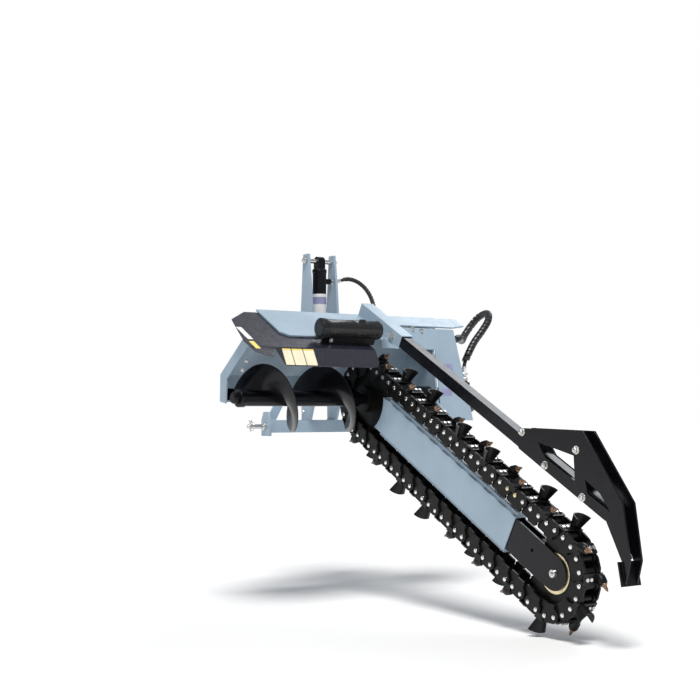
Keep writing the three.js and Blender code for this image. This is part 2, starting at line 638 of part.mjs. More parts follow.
// ---------- crumber ----------
function buildCrumber() {
  const half = CRUMBER_TUBE / 2;
  const bore = half - CRUMBER_WALL;
  const tube = cut(
    box(-half, half, -1568, 60, CRUMBER_N - half, CRUMBER_N + half),
    box(-bore, bore, -1600, 90, CRUMBER_N - bore, CRUMBER_N + bore),
  );
  add(head, "crumber_tube", tube, BLACK_PAINT);
  const outline = [
    [-1009, 350], [-1009, 403], [-1318, 560], [-1612, 428], [-1738, 264], [-1757, 179], [-1703.6, 242.8],
    [-1568, 331], [-1568, 327], [-1040, 327],
  ];
  const front = polygonPath([[-1120, 402], [-1318, 455], [-1366, 376], [-1190, 371]]);
  const rear = polygonPath([[-1411, 407], [-1500, 401], [-1572, 370], [-1445, 368]]);
  mirrorPairs((name, side) => {
    const [x0, x1] = orderedPair(side, half + GAP, half + GAP + 8);
    add(head, `crumber_plate_${name}`, sidePlate(shapeFrom(outline, [front, rear]), x0, x1), BLACK_PAINT);
  });
  const foot = [[-1703, 242], [-1760, 174], [-1754, 169], [-1697, 237]];
  const web = [[-1573, 331], [-1577, 336], [-1698, 246], [-1694, 241]];
  add(head, "crumber_web", sidePlate(shapeFrom(web), -half, half), BLACK_PAINT);
  add(head, "crumber_foot", sidePlate(shapeFrom(foot), -FOOT_HALF_WIDTH, FOOT_HALF_WIDTH), BLACK_PAINT);
}

// ---------- document canister ----------
function buildCanister() {
  const y = -50;
  const z = 371;
  const body = [[-104, 0], [-104, 41], [-392, 41], [-392, 37], [-112, 37], [-112, 0]];
  add(head, "canister_body", turnedX(body, 28).translate(0, y, z), BLACK_PAINT);
  const cap = [[-392.3, 0], [-392.3, 43], [-419, 43], [-421, 38], [-421, 0]];
  add(head, "canister_cap", turnedX(cap, 28).translate(0, y, z), BLACK_PAINT);
  const saddle = cut(box(-372, -130, -79, -22.5, 311.4, 345), rodX(41.4, -400, -100, y, z, 28));
  add(head, "canister_bracket", saddle, BLACK_PAINT);
}

// ---------- front plate with the pivot ears and the lift levers, slotted for the rod pin ----------
function buildPivotFrame() {
  const front = [[-160, -160], [345, -160], [345, 311.5], [-160, 311.5]];
  const plateFront = FRONT_PLATE_BACK + FRONT_PLATE_THICKNESS;
  const welded = [crossPlate(shapeFrom(front), FRONT_PLATE_BACK, plateFront)];
  const backU = plateFront - 1;
  const toHead = (y, z) => [
    y * Math.cos(BOOM_SLOPE) + z * Math.sin(BOOM_SLOPE),
    z * Math.cos(BOOM_SLOPE) - y * Math.sin(BOOM_SLOPE),
  ];
  const eye = [[24, 30], [44, 17], [44, -17], [24, -30]];
  const tip = eye.map(([y, z]) => toHead(PIVOT_Y + LEVER_ARM + y, PIVOT_Z + z));
  const outline = [[backU, -158], [backU, 20], [backU + 24, -20], ...tip, [backU + 50, -158]];
  const pivot = toHead(PIVOT_Y, PIVOT_Z);
  const slot = [];
  for (let i = 0; i < 16; i += 1) {
    const angle = Math.PI / 2 - ((i % 8) / 7 + Math.floor(i / 8)) * Math.PI;
    const centre = i < 8 ? LEVER_ARM + 21 : LEVER_ARM - 3;
    const y = PIVOT_Y + centre + LEVER_SLOT_HALF * Math.cos(angle);
    slot.push(toHead(y, PIVOT_Z + LEVER_SLOT_HALF * Math.sin(angle)));
  }
  const pivotHole = circlePath(pivot[0], pivot[1], PIVOT_RADIUS + GAP);
  const shape = shapeFrom(outline, [polygonPath(slot), pivotHole]);
  mirrorPairs((name, side) => {
    const [x0, x1] = orderedPair(side, 19, 31);
    welded.push(sidePlate(shape, x0, x1, 10));
  });
  const ear = [[backU, -155], [backU, -60], [pivot[0] + 8, -80], [pivot[0] + 30, -109], [pivot[0] + 8, -140]];
  const earShape = shapeFrom(ear, [pivotHole]);
  mirrorPairs((name, side) => {
    const [x0, x1] = orderedPair(side, 84, 96);
    welded.push(sidePlate(earShape, x0, x1, 10));
  });
  add(head, "pivot_frame", join(...welded), FRAME_PAINT);
}

buildMast();
buildLowerBeam();
buildPivotPin();
buildLiftCylinder();
buildHoses();
buildCouplers();
buildDeck();
buildRearPanel();
buildMotorPlate();
buildAugerWall();
buildHood();
buildReceiver();
buildBoom();
buildNose();
buildHeadRotor();
buildAuger();
buildTailWheel();
buildChain();
buildMotor();
buildMotorFittings();
buildCrumber();
buildCanister();
buildPivotFrame();

export default trencher;
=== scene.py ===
# The trencher's looks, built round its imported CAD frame.
# Row frame: metres, +Z up, +Y towards the tractor.
# Most pieces are written in millimetres from the head shaft: x to the right, then u and n.
# In HEAD space u runs forward along the boom and n stands square to it.
# In HITCH space u is +Y and n is +Z.
import json
import math
import random

import bmesh
import bpy
from mathutils import Matrix, Vector


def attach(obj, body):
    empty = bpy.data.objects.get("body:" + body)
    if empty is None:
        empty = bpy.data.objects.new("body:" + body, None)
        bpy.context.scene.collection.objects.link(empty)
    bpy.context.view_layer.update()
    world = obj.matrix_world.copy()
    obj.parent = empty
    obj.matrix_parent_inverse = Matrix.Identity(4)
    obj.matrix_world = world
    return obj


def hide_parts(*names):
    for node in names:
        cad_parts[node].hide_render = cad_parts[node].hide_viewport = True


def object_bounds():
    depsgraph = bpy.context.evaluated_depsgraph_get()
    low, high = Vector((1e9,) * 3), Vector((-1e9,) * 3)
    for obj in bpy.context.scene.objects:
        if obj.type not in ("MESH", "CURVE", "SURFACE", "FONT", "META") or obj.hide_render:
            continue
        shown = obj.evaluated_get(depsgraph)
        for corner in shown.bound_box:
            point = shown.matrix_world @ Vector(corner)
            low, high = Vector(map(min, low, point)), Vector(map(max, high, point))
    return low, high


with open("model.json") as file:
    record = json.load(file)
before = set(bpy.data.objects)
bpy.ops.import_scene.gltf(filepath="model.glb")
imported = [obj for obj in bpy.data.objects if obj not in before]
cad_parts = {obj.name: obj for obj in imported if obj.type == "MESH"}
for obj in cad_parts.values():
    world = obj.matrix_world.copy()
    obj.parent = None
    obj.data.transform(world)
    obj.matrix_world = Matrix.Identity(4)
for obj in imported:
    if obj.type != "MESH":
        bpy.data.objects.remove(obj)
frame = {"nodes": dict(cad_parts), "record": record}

NODES = frame["nodes"]
CAD_BOX = [list(corner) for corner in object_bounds()]

# ---------- driving sizes ----------
SHAFT_AT = Vector((0.0, -0.430, 0.130))
BOOM_SLOPE = math.radians(28.2)
MILLIMETRES = Matrix.Scale(0.001, 4)
HITCH = Matrix.Translation(SHAFT_AT) @ MILLIMETRES
HEAD = Matrix.Translation(SHAFT_AT) @ Matrix.Rotation(BOOM_SLOPE, 4, "X") @ MILLIMETRES

PITCH = 50.8
WHEEL_TEETH = 20
RUN_LINKS = 28
WRAP_LINKS = WHEEL_TEETH // 2
PITCH_RADIUS = PITCH / (2 * math.sin(math.pi / WHEEL_TEETH))
TAIL = RUN_LINKS * PITCH
LINKS = 2 * (RUN_LINKS + WRAP_LINKS)
SIDES = ((-1, "-x"), (1, "x"))
SHARP_ANGLE = math.radians(33)

AUGER_START = -655
AUGER_END = -92
AUGER_PITCH = 305
AUGER_RADIUS = 152
AUGER_TOP_CROSSING = -269
CANISTER_U = -50
CANISTER_N = 371
CYLINDER_U = 435
CYLINDER_PIN_N = 682
PIVOT_U = 320
PIVOT_N = 40


# ---------- camera ----------
CAMERA_AT = (-3.404, -5.312, 0.079)
CAMERA_RISE = 2.68
CAMERA_TURN = -34
FOCAL_LENGTH = 65.83
SENSOR_WIDTH = 36


def build_camera():
    data = bpy.data.cameras.new("camera")
    data.lens = FOCAL_LENGTH
    data.sensor_width = SENSOR_WIDTH
    camera = bpy.data.objects.new("camera", data)
    camera.location = CAMERA_AT
    camera.rotation_euler = (math.radians(90 + CAMERA_RISE), 0, math.radians(CAMERA_TURN))
    bpy.context.scene.collection.objects.link(camera)
    bpy.context.scene.camera = camera


# ---------- material kit ----------
class Surface:
    """A Principled material whose nodes are added one at a time."""

    def __init__(self, name):
        self.material = bpy.data.materials.new(name)
        self.material.use_nodes = True
        self.nodes = self.material.node_tree.nodes
        self.links = self.material.node_tree.links
        self.shader = self.nodes["Principled BSDF"]
        self.place = self.nodes.new("ShaderNodeTexCoord").outputs["Object"]

    def link(self, value, socket):
        self.links.new(value, socket)

    def put(self, name, value):
        self.shader.inputs[name].default_value = value

    def noise(self, scale, detail=4.0, roughness=0.55, stretch=None):
        node = self.nodes.new("ShaderNodeTexNoise")
        node.inputs["Scale"].default_value = scale
        node.inputs["Detail"].default_value = detail
        node.inputs["Roughness"].default_value = roughness
        place = self.place
        if stretch:
            mapping = self.nodes.new("ShaderNodeMapping")
            mapping.inputs["Scale"].default_value = stretch
            self.link(place, mapping.inputs["Vector"])
            place = mapping.outputs["Vector"]
        self.link(place, node.inputs["Vector"])
        return node.outputs["Fac"]

    def remap(self, value, low, high, to_low=0.0, to_high=1.0):
        node = self.nodes.new("ShaderNodeMapRange")
        limits = {"From Min": low, "From Max": high, "To Min": to_low, "To Max": to_high}
        for name, number in limits.items():
            node.inputs[name].default_value = number
        self.link(value, node.inputs["Value"])
        return node.outputs["Result"]

    def math(self, operation, a, b):
        node = self.nodes.new("ShaderNodeMath")
        node.operation = operation
        for socket, value in zip(node.inputs, (a, b)):
            if isinstance(value, (int, float)):
                socket.default_value = value
            else:
                self.link(value, socket)
        return node.outputs["Value"]

    def mix(self, factor, a, b):
        node = self.nodes.new("ShaderNodeMix")
        node.data_type = "RGBA"
        self.link(factor, node.inputs["Factor"])
        for socket, value in ((node.inputs["A"], a), (node.inputs["B"], b)):
            if isinstance(value, tuple):
                socket.default_value = (*value, 1.0)
            else:
                self.link(value, socket)
        return node.outputs["Result"]

    def edges(self, radius):
        """1 on the crests of edges and 0 on flat faces."""
        rounded = self.nodes.new("ShaderNodeBevel")
        rounded.samples = 4
        rounded.inputs["Radius"].default_value = radius
        flat = self.nodes.new("ShaderNodeNewGeometry")
        dot = self.nodes.new("ShaderNodeVectorMath")
        dot.operation = "DOT_PRODUCT"
        self.link(rounded.outputs["Normal"], dot.inputs[0])
        self.link(flat.outputs["Normal"], dot.inputs[1])
        return self.remap(dot.outputs["Value"], 0.99, 0.8)

    def bump(self, height, strength, distance):
        node = self.nodes.new("ShaderNodeBump")
        node.inputs["Strength"].default_value = strength
        node.inputs["Distance"].default_value = distance
        self.link(height, node.inputs["Height"])
        self.link(node.outputs["Normal"], self.shader.inputs["Normal"])


def shade(color, factor):
    return tuple(min(1.0, channel * factor) for channel in color)


def painted(name, color, roughness, edge_wear_and_highlight_color, edge_wear_and_highlight_share=0.5, peel=0.12, coat=0.0, dust=None, glint=0.5):
    """Paint with soft mottling, orange peel and patchy edges turned towards a lighter edge colour,
    which is partly wear and partly a painted highlight on the edges.
    """
    look = Surface(name)
    cloud = look.remap(look.noise(5.0), 0.3, 0.7)
    tone = look.mix(cloud, shade(color, 0.9), shade(color, 1.07))
    if dust:
        film = look.remap(look.noise(2.2, 6.0, 0.65), 0.5, 0.8, 0.0, 0.3)
        tone = look.mix(film, tone, dust)
    broken = look.remap(look.noise(70.0, 5.0, 0.7), 0.42, 0.62)
    # The lighter colour on the edges is partly wear and partly a painted highlight where light
    # catches the edges.
    edge_wear_and_highlight_mask = look.math("MULTIPLY", look.math("MULTIPLY", look.edges(0.002), broken), edge_wear_and_highlight_share)
    look.link(look.mix(edge_wear_and_highlight_mask, tone, edge_wear_and_highlight_color), look.shader.inputs["Base Color"])
    sheen = look.remap(look.noise(28.0, 5.0), 0.3, 0.7, roughness * 0.82, roughness * 1.22)
    look.link(sheen, look.shader.inputs["Roughness"])
    look.put("Specular IOR Level", glint)
    look.put("Coat Weight", coat)
    look.put("Coat Roughness", 0.12)
    look.bump(look.noise(420.0, 2.0), peel, 0.0006)
    return look.material


def bare_metal(name, color, roughness, stain, streak=None, grain=0.15):
    """Bare or plated metal with brushed streaks and stained patches."""
    look = Surface(name)
    stained = look.remap(look.noise(45.0, 6.0, 0.65), 0.45, 0.72, 0.0, 0.75)
    look.link(look.mix(stained, color, stain), look.shader.inputs["Base Color"])
    look.put("Metallic", 1.0)
    fine = look.noise(260.0, 4.0, 0.6, streak)
    sheen = look.remap(fine, 0.3, 0.7, roughness * 0.75, roughness * 1.35)
    look.link(sheen, look.shader.inputs["Roughness"])
    look.bump(fine, grain, 0.0004)
    return look.material


def moulded(name, color, roughness, grain_scale, grain, tint=0.85):
    """Plastic or rubber with a fine moulded grain."""
    look = Surface(name)
    cloud = look.remap(look.noise(18.0), 0.3, 0.7)
    tone = look.mix(cloud, shade(color, tint), shade(color, 1.15))
    look.link(tone, look.shader.inputs["Base Color"])
    patch = look.remap(look.noise(40.0, 5.0), 0.3, 0.7, roughness * 0.8, roughness * 1.2)
    look.link(patch, look.shader.inputs["Roughness"])
    look.bump(look.noise(grain_scale, 3.0), grain, 0.0005)
    return look.material


# The third colour in each paint is its lighter edge colour: partly wear, partly a painted edge
# highlight.
PAINT = painted("pale_blue_enamel", (0.35, 0.455, 0.55), 0.36, (0.60, 0.68, 0.74),
                0.5, 0.10, coat=0.1)
BLACK = painted("black_powder_coat", (0.004, 0.004, 0.005), 0.34, (0.07, 0.07, 0.08),
                0.3, 0.22, glint=0.22)
GLOSS_BLACK = painted("black_gloss_paint", (0.004, 0.004, 0.006), 0.22, (0.06, 0.06, 0.07),
                      0.3, 0.12, glint=0.3)
# The hood's black is lifted to a dark lavender: a painted reflection of the sky, which its sloping
# lip shows, laid over the whole hood sheet.
HOOD_BLACK_PAINTED_REFLECTION = painted("black_hood_paint_painted_sky_reflection", (0.016, 0.016, 0.027), 0.26, (0.08, 0.08, 0.10),
                     0.3, 0.06, glint=1.0)
CHAIN = painted("blackened_chain_steel", (0.006, 0.0055, 0.005), 0.4, (0.10, 0.09, 0.08),
                0.5, 0.35, dust=(0.018, 0.014, 0.012), glint=0.25)
CUTTER = painted("blackened_cutter_steel", (0.005, 0.005, 0.006), 0.34, (0.14, 0.13, 0.12),
                 0.6, 0.3, glint=0.3)
ZINC = bare_metal("zinc_plate", (0.78, 0.78, 0.76), 0.26, (0.5, 0.48, 0.42))
PIN_STEEL = bare_metal("bright_pin_steel", (0.9, 0.9, 0.89), 0.2, (0.66, 0.64, 0.6))
CHROME = bare_metal("chromed_rod", (0.86, 0.87, 0.88), 0.07, (0.8, 0.81, 0.82),
                    streak=(1, 1, 0.05), grain=0.04)
COPPER = bare_metal("coppery_carbide_bit", (0.42, 0.27, 0.18), 0.36, (0.16, 0.10, 0.07), grain=0.3)
BRASS = bare_metal("brass", (0.88, 0.76, 0.5), 0.28, (0.6, 0.5, 0.3))
RUBBER = moulded("hose_cover", (0.013, 0.013, 0.014), 0.55, 900.0, 0.25)
GUARD = moulded("hose_guard", (0.022, 0.022, 0.026), 0.33, 500.0, 0.12)
PLASTIC = moulded("black_moulded_plastic", (0.012, 0.012, 0.013), 0.3, 650.0, 0.16)
LENS = moulded("amber_lens", (0.85, 0.22, 0.02), 0.14, 300.0, 0.1)
CREAM = moulded("cream_label", (0.83, 0.76, 0.55), 0.35, 200.0, 0.05, 0.95)
YELLOW = moulded("yellow_label", (0.85, 0.66, 0.16), 0.35, 200.0, 0.05, 0.95)
WHITE = moulded("white_label", (0.82, 0.82, 0.80), 0.35, 200.0, 0.05, 0.95)
MAUVE = moulded("grey_violet_label", (0.30, 0.30, 0.48), 0.4, 200.0, 0.05, 0.95)

# The record's slots with their materials. The first one dresses the CAD nodes that stay.
FINISHES = {
    "frame_paint": [PAINT],
    "black_paint": [BLACK, GLOSS_BLACK, HOOD_BLACK_PAINTED_REFLECTION, PLASTIC],
    "chain_steel": [CHAIN, CUTTER],
    "bright_steel": [ZINC, PIN_STEEL],
    "hose_rubber": [RUBBER, GUARD],
    "bronze_bush": [BRASS, COPPER],
    "amber_lens": [LENS, CREAM, YELLOW, WHITE, MAUVE],
}


# ---------- mesh kit: every part is (points in millimetres, faces) ----------
def prism(outline, low, high, axis="x"):
    """A straight-sided solid. Its outline is (u, n) along x, (x, u) along n, or (x, n) along u."""
    order = {"x": (2, 0, 1), "n": (0, 1, 2), "u": (0, 2, 1)}[axis]
    count = len(outline)
    flat = [(a, b, c) for c in (low, high) for a, b in outline]
    points = [tuple(point[k] for k in order) for point in flat]
    faces = [tuple(range(count)), tuple(range(2 * count - 1, count - 1, -1))]
    for i in range(count):
        after = (i + 1) % count
        faces.append((i, after, count + after, count + i))
    return points, faces


def arc(a, b, radius, start, end, steps=8):
    """Points round (a, b), with its angles in degrees."""
    angles = [math.radians(start + (end - start) * i / steps) for i in range(steps + 1)]
    return [(a + radius * math.cos(t), b + radius * math.sin(t)) for t in angles]


def round_box(low_a, high_a, low_b, high_b, radius, steps=4):
    """A rectangle's outline with round corners."""
    corners = [(high_a, high_b, 0), (low_a, high_b, 90), (low_a, low_b, 180), (high_a, low_b, 270)]
    outline = []
    for a, b, start in corners:
        centre_a = a - radius if a == high_a else a + radius
        centre_b = b - radius if b == high_b else b + radius
        outline += arc(centre_a, centre_b, radius, start, start + 90, steps)
    return outline


def lathe(profile, sides=32):
    """A solid turned about x. Its (x, radius) profile ends on the axis or closes on itself."""
    points = []
    rings = []
    for x, radius in profile:
        if radius == 0:
            points.append((x, 0, 0))
            rings.append([len(points) - 1] * sides)
            continue
        rings.append(list(range(len(points), len(points) + sides)))
        for side in range(sides):
            angle = 2 * math.pi * side / sides
            points.append((x, radius * math.cos(angle), radius * math.sin(angle)))
    faces = []
    pairs = list(zip(rings, rings[1:]))
    if profile[0][1] > 0:
        pairs.append((rings[-1], rings[0]))
    for ring, after in pairs:
        for side in range(sides):
            turn = (side + 1) % sides
            face = list(dict.fromkeys((ring[side], ring[turn], after[turn], after[side])))
            if len(face) > 2:
                faces.append(tuple(face))
    return points, faces


def loft(sections, closed_ends=True):
    """A skin over equal loops of points."""
    size = len(sections[0])
    points = [point for section in sections for point in section]
    faces = []
    for row in range(len(sections) - 1):
        here = row * size
        there = here + size
        for i in range(size):
            after = (i + 1) % size
            faces.append((here + i, here + after, there + after, there + i))
    if closed_ends:
        last = (len(sections) - 1) * size
        faces += [tuple(range(size)), tuple(range(last + size - 1, last - 1, -1))]
    return points, faces


def ring_of(count, centre, across, up, radius):
    """Points on a circle round a centre, in the plane of two directions."""
    ring = []
    for k in range(count):
        angle = 2 * math.pi * k / count
        ring.append(tuple(centre + radius * (math.cos(angle) * across + math.sin(angle) * up)))
    return ring


def moved(part, matrix):
    return [tuple(matrix @ Vector(point)) for point in part[0]], part[1]


TURNS = {
    "x": Matrix.Identity(4),
    "-x": Matrix.Rotation(math.pi, 4, "Z"),
    "u": Matrix.Rotation(math.pi / 2, 4, "Z"),
    "-u": Matrix.Rotation(-math.pi / 2, 4, "Z"),
    "n": Matrix.Rotation(-math.pi / 2, 4, "Y"),
    "-n": Matrix.Rotation(math.pi / 2, 4, "Y"),
}


def at(part, x, u, n, axis="x"):
    """The part with its own x axis turned along another and its origin moved."""
    return moved(part, Matrix.Translation((x, u, n)) @ TURNS[axis])


def piece(name, parts, material, body, space=HEAD, bevel=0.5, segments=2, replaces=()):
    """Makes one shown piece from parts and lets it ride on a body."""
    shape = bmesh.new()
    for points, faces in parts:
        made = [shape.verts.new(space @ Vector(point)) for point in points]
        for face in faces:
            shape.faces.new([made[i] for i in face])
    bmesh.ops.recalc_face_normals(shape, faces=shape.faces)
    mesh = bpy.data.meshes.new(name)
    shape.to_mesh(mesh)
    shape.free()
    mesh.materials.append(material)
    obj = bpy.data.objects.new(name, mesh)
    bpy.context.scene.collection.objects.link(obj)
    soften(obj, bevel, segments)
    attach(obj, body)
    if replaces:
        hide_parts(*replaces)


def soften(obj, bevel, segments):
    """Smooth shading with rounded edges, the bevel being in millimetres."""
    mesh = obj.data
    mesh.polygons.foreach_set("use_smooth", [True] * len(mesh.polygons))
    mesh.set_sharp_from_angle(angle=SHARP_ANGLE)
    if bevel:
        rounding = round_edges(obj, bevel * 0.001, segments)
        rounding.use_clamp_overlap = True


def round_edges(obj, width, segments):
    rounding = obj.modifiers.new("rounded edges", "BEVEL")
    rounding.width = width
    rounding.segments = segments
    rounding.limit_method = "ANGLE"
    rounding.angle_limit = SHARP_ANGLE
    rounding.harden_normals = True
    return rounding


# ---------- fasteners and welds, gathered by body ----------
FASTENERS = {}
WELDS = {}


def bolt(x, u, n, axis, size=16, space="head", body="head", washer=True):
    """A hex bolt head of that width across flats, standing on a face, with its washer."""
    parts = FASTENERS.setdefault((body, space), [])
    base = 0
    if washer:
        base = 1.8
        disc = lathe([(0, 0), (0, size * 0.78), (base, size * 0.78), (base, 0)], 24)
        parts.append(at(disc, x, u, n, axis))
    height = size * 0.55
    top = base + height
    corner = size / math.sqrt(3)
    head = lathe([(base, 0), (base, corner), (base + height * 0.8, corner),
                  (top, corner * 0.8), (top, 0)], 6)
    twist = Matrix.Rotation(random.uniform(0, 1), 4, "X")
    parts.append(at(moved(head, twist), x, u, n, axis))
    end = lathe([(top - 1, 0), (top - 1, size * 0.3), (top + 1.2, size * 0.3),
                 (top + 2, size * 0.22), (top + 2, 0)], 16)
    parts.append(at(end, x, u, n, axis))


def weld(points, radius=2.6, space="head", body="head", group="frame"):
    """A rippled bead along a line of points."""
    route = [Vector(point) for point in points]
    sections = []
    for start, end in zip(route, route[1:]):
        along = (end - start).normalized()
        side = along.cross(Vector((0.31, 0.52, 0.79))).normalized()
        lift = along.cross(side)
        count = max(3, int((end - start).length / 2.2))
        for step in range(count + 1):
            swell = radius * (1 + 0.16 * math.sin(step * 1.9) + random.uniform(-0.05, 0.05))
            if step in (0, count):
                swell = radius * 0.55
            sections.append(ring_of(8, start.lerp(end, step / count), side, lift, swell))
    WELDS.setdefault((body, space, group), []).append(loft(sections))


def build_gathered():
    spaces = {"head": HEAD, "hitch": HITCH}
    paints = {"frame": PAINT, "black": BLACK}
    for (body, space), parts in FASTENERS.items():
        piece(f"bolts_on_{body}_{space}", parts, ZINC, body, spaces[space], 0.4, 1)
    for (body, space, group), parts in WELDS.items():
        name = f"welds_on_{body}_{space}_{group}"
        piece(name, parts, paints[group], body, spaces[space], 0)


# ---------- CAD nodes that stay ----------
def dress_cad_nodes():
    for part in frame["record"]["subparts"]:
        dress_node(NODES[part["node"]], FINISHES[part["material_slot"]][0])
    for name in ("nose_plate_left", "nose_plate_right", "crumber_tube", "crumber_plate_left",
                 "crumber_plate_right", "crumber_web", "head_shaft", "shaft_collar"):
        NODES[name].data.materials[0] = GLOSS_BLACK
    NODES["lift_rod"].data.materials[0] = CHROME
    for name in ("nose_plate_left", "nose_plate_right"):
        plate = NODES[name]
        plate.modifiers.remove(plate.modifiers["rounded edges"])
        plate.data.polygons.foreach_set("use_smooth", [False] * len(plate.data.polygons))
    for name in ("boom", "crumber_tube", "crumber_receiver", "boom_arm"):
        NODES[name].modifiers["rounded edges"].width = 0.0035
        NODES[name].modifiers["rounded edges"].segments = 3


def dress_node(node, material):
    mesh = node.data
    mesh.materials.clear()
    mesh.materials.append(material)
    if "custom_normal" in mesh.attributes:
        mesh.attributes.remove(mesh.attributes["custom_normal"])
    seam = node.modifiers.new("joined corners", "WELD")
    seam.merge_threshold = 0.00001
    mesh.polygons.foreach_set("use_smooth", [True] * len(mesh.polygons))
    round_edges(node, 0.0009, 2)


# ---------- hoses ----------
MOTOR_HOSE = 0.018
LIFT_HOSE = 0.016
PRESSURE_ROUTE = [
    (0.552, -0.010, 0.134), (0.555, -0.015, 0.178), (0.571, -0.021, 0.219), (0.622, -0.008, 0.283),
    (0.671, -0.008, 0.338), (0.726, 0.011, 0.393), (0.762, 0.052, 0.429), (0.778, 0.102, 0.434),
    (0.775, 0.150, 0.416), (0.755, 0.178, 0.379), (0.714, 0.179, 0.330), (0.663, 0.139, 0.298),
    (0.612, 0.092, 0.299), (0.561, 0.035, 0.302), (0.516, -0.003, 0.295), (0.468, -0.017, 0.284),
    (0.429, -0.009, 0.276), (0.398, 0.013, 0.278), (0.378, 0.044, 0.288), (0.370, 0.0775, 0.308),
]
RETURN_ROUTE = [
    (0.490, -0.010, 0.134), (0.490, -0.009, 0.165), (0.487, 0.000, 0.205), (0.471, 0.011, 0.240),
    (0.448, 0.028, 0.268), (0.434, 0.052, 0.291), (0.430, 0.0775, 0.308),
]
LIFT_TOP_ROUTE = [
    (0.0995, 0.435, 0.585), (0.128, 0.434, 0.596), (0.168, 0.428, 0.604), (0.208, 0.416, 0.594),
    (0.242, 0.398, 0.566), (0.264, 0.378, 0.524), (0.273, 0.360, 0.474), (0.275, 0.350, 0.424),
    (0.274, 0.350, 0.380), (0.272, 0.366, 0.344), (0.270, 0.400, 0.323), (0.270, 0.438, 0.320),
]
LIFT_BOTTOM_ROUTE = [
    (0.0995, 0.435, 0.285), (0.128, 0.435, 0.288), (0.163, 0.422, 0.292), (0.194, 0.397, 0.282),
    (0.209, 0.370, 0.259), (0.213, 0.356, 0.231), (0.213, 0.355, 0.201), (0.211, 0.370, 0.170),
    (0.205, 0.401, 0.147), (0.200, 0.438, 0.140),
]
# Each guard's clear length at either end, its inner and outer radius, its width and its pitch.
GUARDS = {
    "pressure_hose": ("pressure_hose_guard", 0.055, 0.06, 0.0094, 0.0180, 0.0195, 0.0235),
    "lift_hose_top": ("lift_hose_guard", 0.05, 0.05, 0.0083, 0.0108, 0.012, 0.0146),
}


def smooth_route(points, steps=10):
    """A centripetal Catmull-Rom curve through the points, in the row frame."""
    knots = [Vector(point) + SHAFT_AT for point in points]
    knots = [knots[0] * 2 - knots[1]] + knots + [knots[-1] * 2 - knots[-2]]
    route = []
    for p0, p1, p2, p3 in zip(knots, knots[1:], knots[2:], knots[3:]):
        t1 = (p1 - p0).length ** 0.5
        t2 = t1 + (p2 - p1).length ** 0.5
        t3 = t2 + (p3 - p2).length ** 0.5
        for step in range(steps):
            t = t1 + (t2 - t1) * step / steps
            a1 = p0.lerp(p1, t / t1)
            a2 = p1.lerp(p2, (t - t1) / (t2 - t1))
            a3 = p2.lerp(p3, (t - t2) / (t3 - t2))
            b1 = a1.lerp(a2, t / t2)
            b2 = a2.lerp(a3, (t - t1) / (t3 - t1))
            route.append(b1.lerp(b2, (t - t1) / (t2 - t1)))
    route.append(knots[-2])
    return route


def hose(name, points, diameter, body, node):
    route = smooth_route(points)
    data = bpy.data.curves.new(name, "CURVE")
    data.dimensions = "3D"
    data.bevel_depth = diameter / 2
    data.bevel_resolution = 5
    data.use_fill_caps = True
    spline = data.splines.new("POLY")
    spline.points.add(len(route) - 1)
    for spot, point in zip(spline.points, route):
        spot.co = (*point, 1)
    data.materials.append(RUBBER)
    obj = bpy.data.objects.new(name, data)
    bpy.context.scene.collection.objects.link(obj)
    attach(obj, body)
    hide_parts(node)
    length = carried_frames(route)[-1][0]
    return route, length


def carried_frames(route):
    """Each point with its distance along the route, its direction and two square to it."""
    frames = []
    side = None
    distance = 0.0
    for i, point in enumerate(route):
        before = route[max(0, i - 1)]
        after = route[min(len(route) - 1, i + 1)]
        along = (after - before).normalized()
        if side is None:
            side = along.orthogonal()
        side = (side - along * side.dot(along)).normalized()
        if i:
            distance += (point - before).length
        frames.append((distance, point, along, side, along.cross(side)))
    return frames


def spot_on(frames, distance):
    for left, right in zip(frames, frames[1:]):
        if distance <= right[0]:
            share = (distance - left[0]) / max(1e-9, right[0] - left[0])
            return [a.lerp(b, share) for a, b in zip(left[1:], right[1:])]
    return list(frames[-1][1:])


def spiral_guard(name, route, start, end, inner, outer, band, pitch, body):
    """A flat plastic strip wound round a hose, in metres."""
    frames = carried_frames(route)
    steps_per_turn = 20
    count = int((end - start) / pitch * steps_per_turn)
    brow = outer - 0.0006
    strip = ((-band / 2, inner), (-band / 2, brow), (-band / 3, outer),
             (band / 3, outer), (band / 2, brow), (band / 2, inner))
    sections = []
    for step in range(count + 1):
        point, along, side, up = spot_on(frames, start + (end - start) * step / count)
        angle = 2 * math.pi * step / steps_per_turn
        out = math.cos(angle) * side + math.sin(angle) * up
        sections.append([tuple(point + along * shift + out * radius) for shift, radius in strip])
    piece(name, [loft(sections)], GUARD, body, Matrix.Identity(4), 0)


def ferrule(name, route, radius, body):
    """The crimped sleeve at the start of a route, its profile in hose radii."""
    frames = carried_frames(route)
    sleeve = [(0.0, 1.28), (0.9, 1.32), (1.0, 1.22), (1.5, 1.22), (1.6, 1.32), (2.1, 1.32),
              (2.2, 1.22), (2.7, 1.22), (2.8, 1.3), (3.1, 1.18)]
    sections = []
    for reach, width in sleeve:
        point, _, side, up = spot_on(frames, reach * radius)
        sections.append(ring_of(24, point, side, up, width * radius))
    piece(name, [loft(sections)], ZINC, body, Matrix.Identity(4), 0)


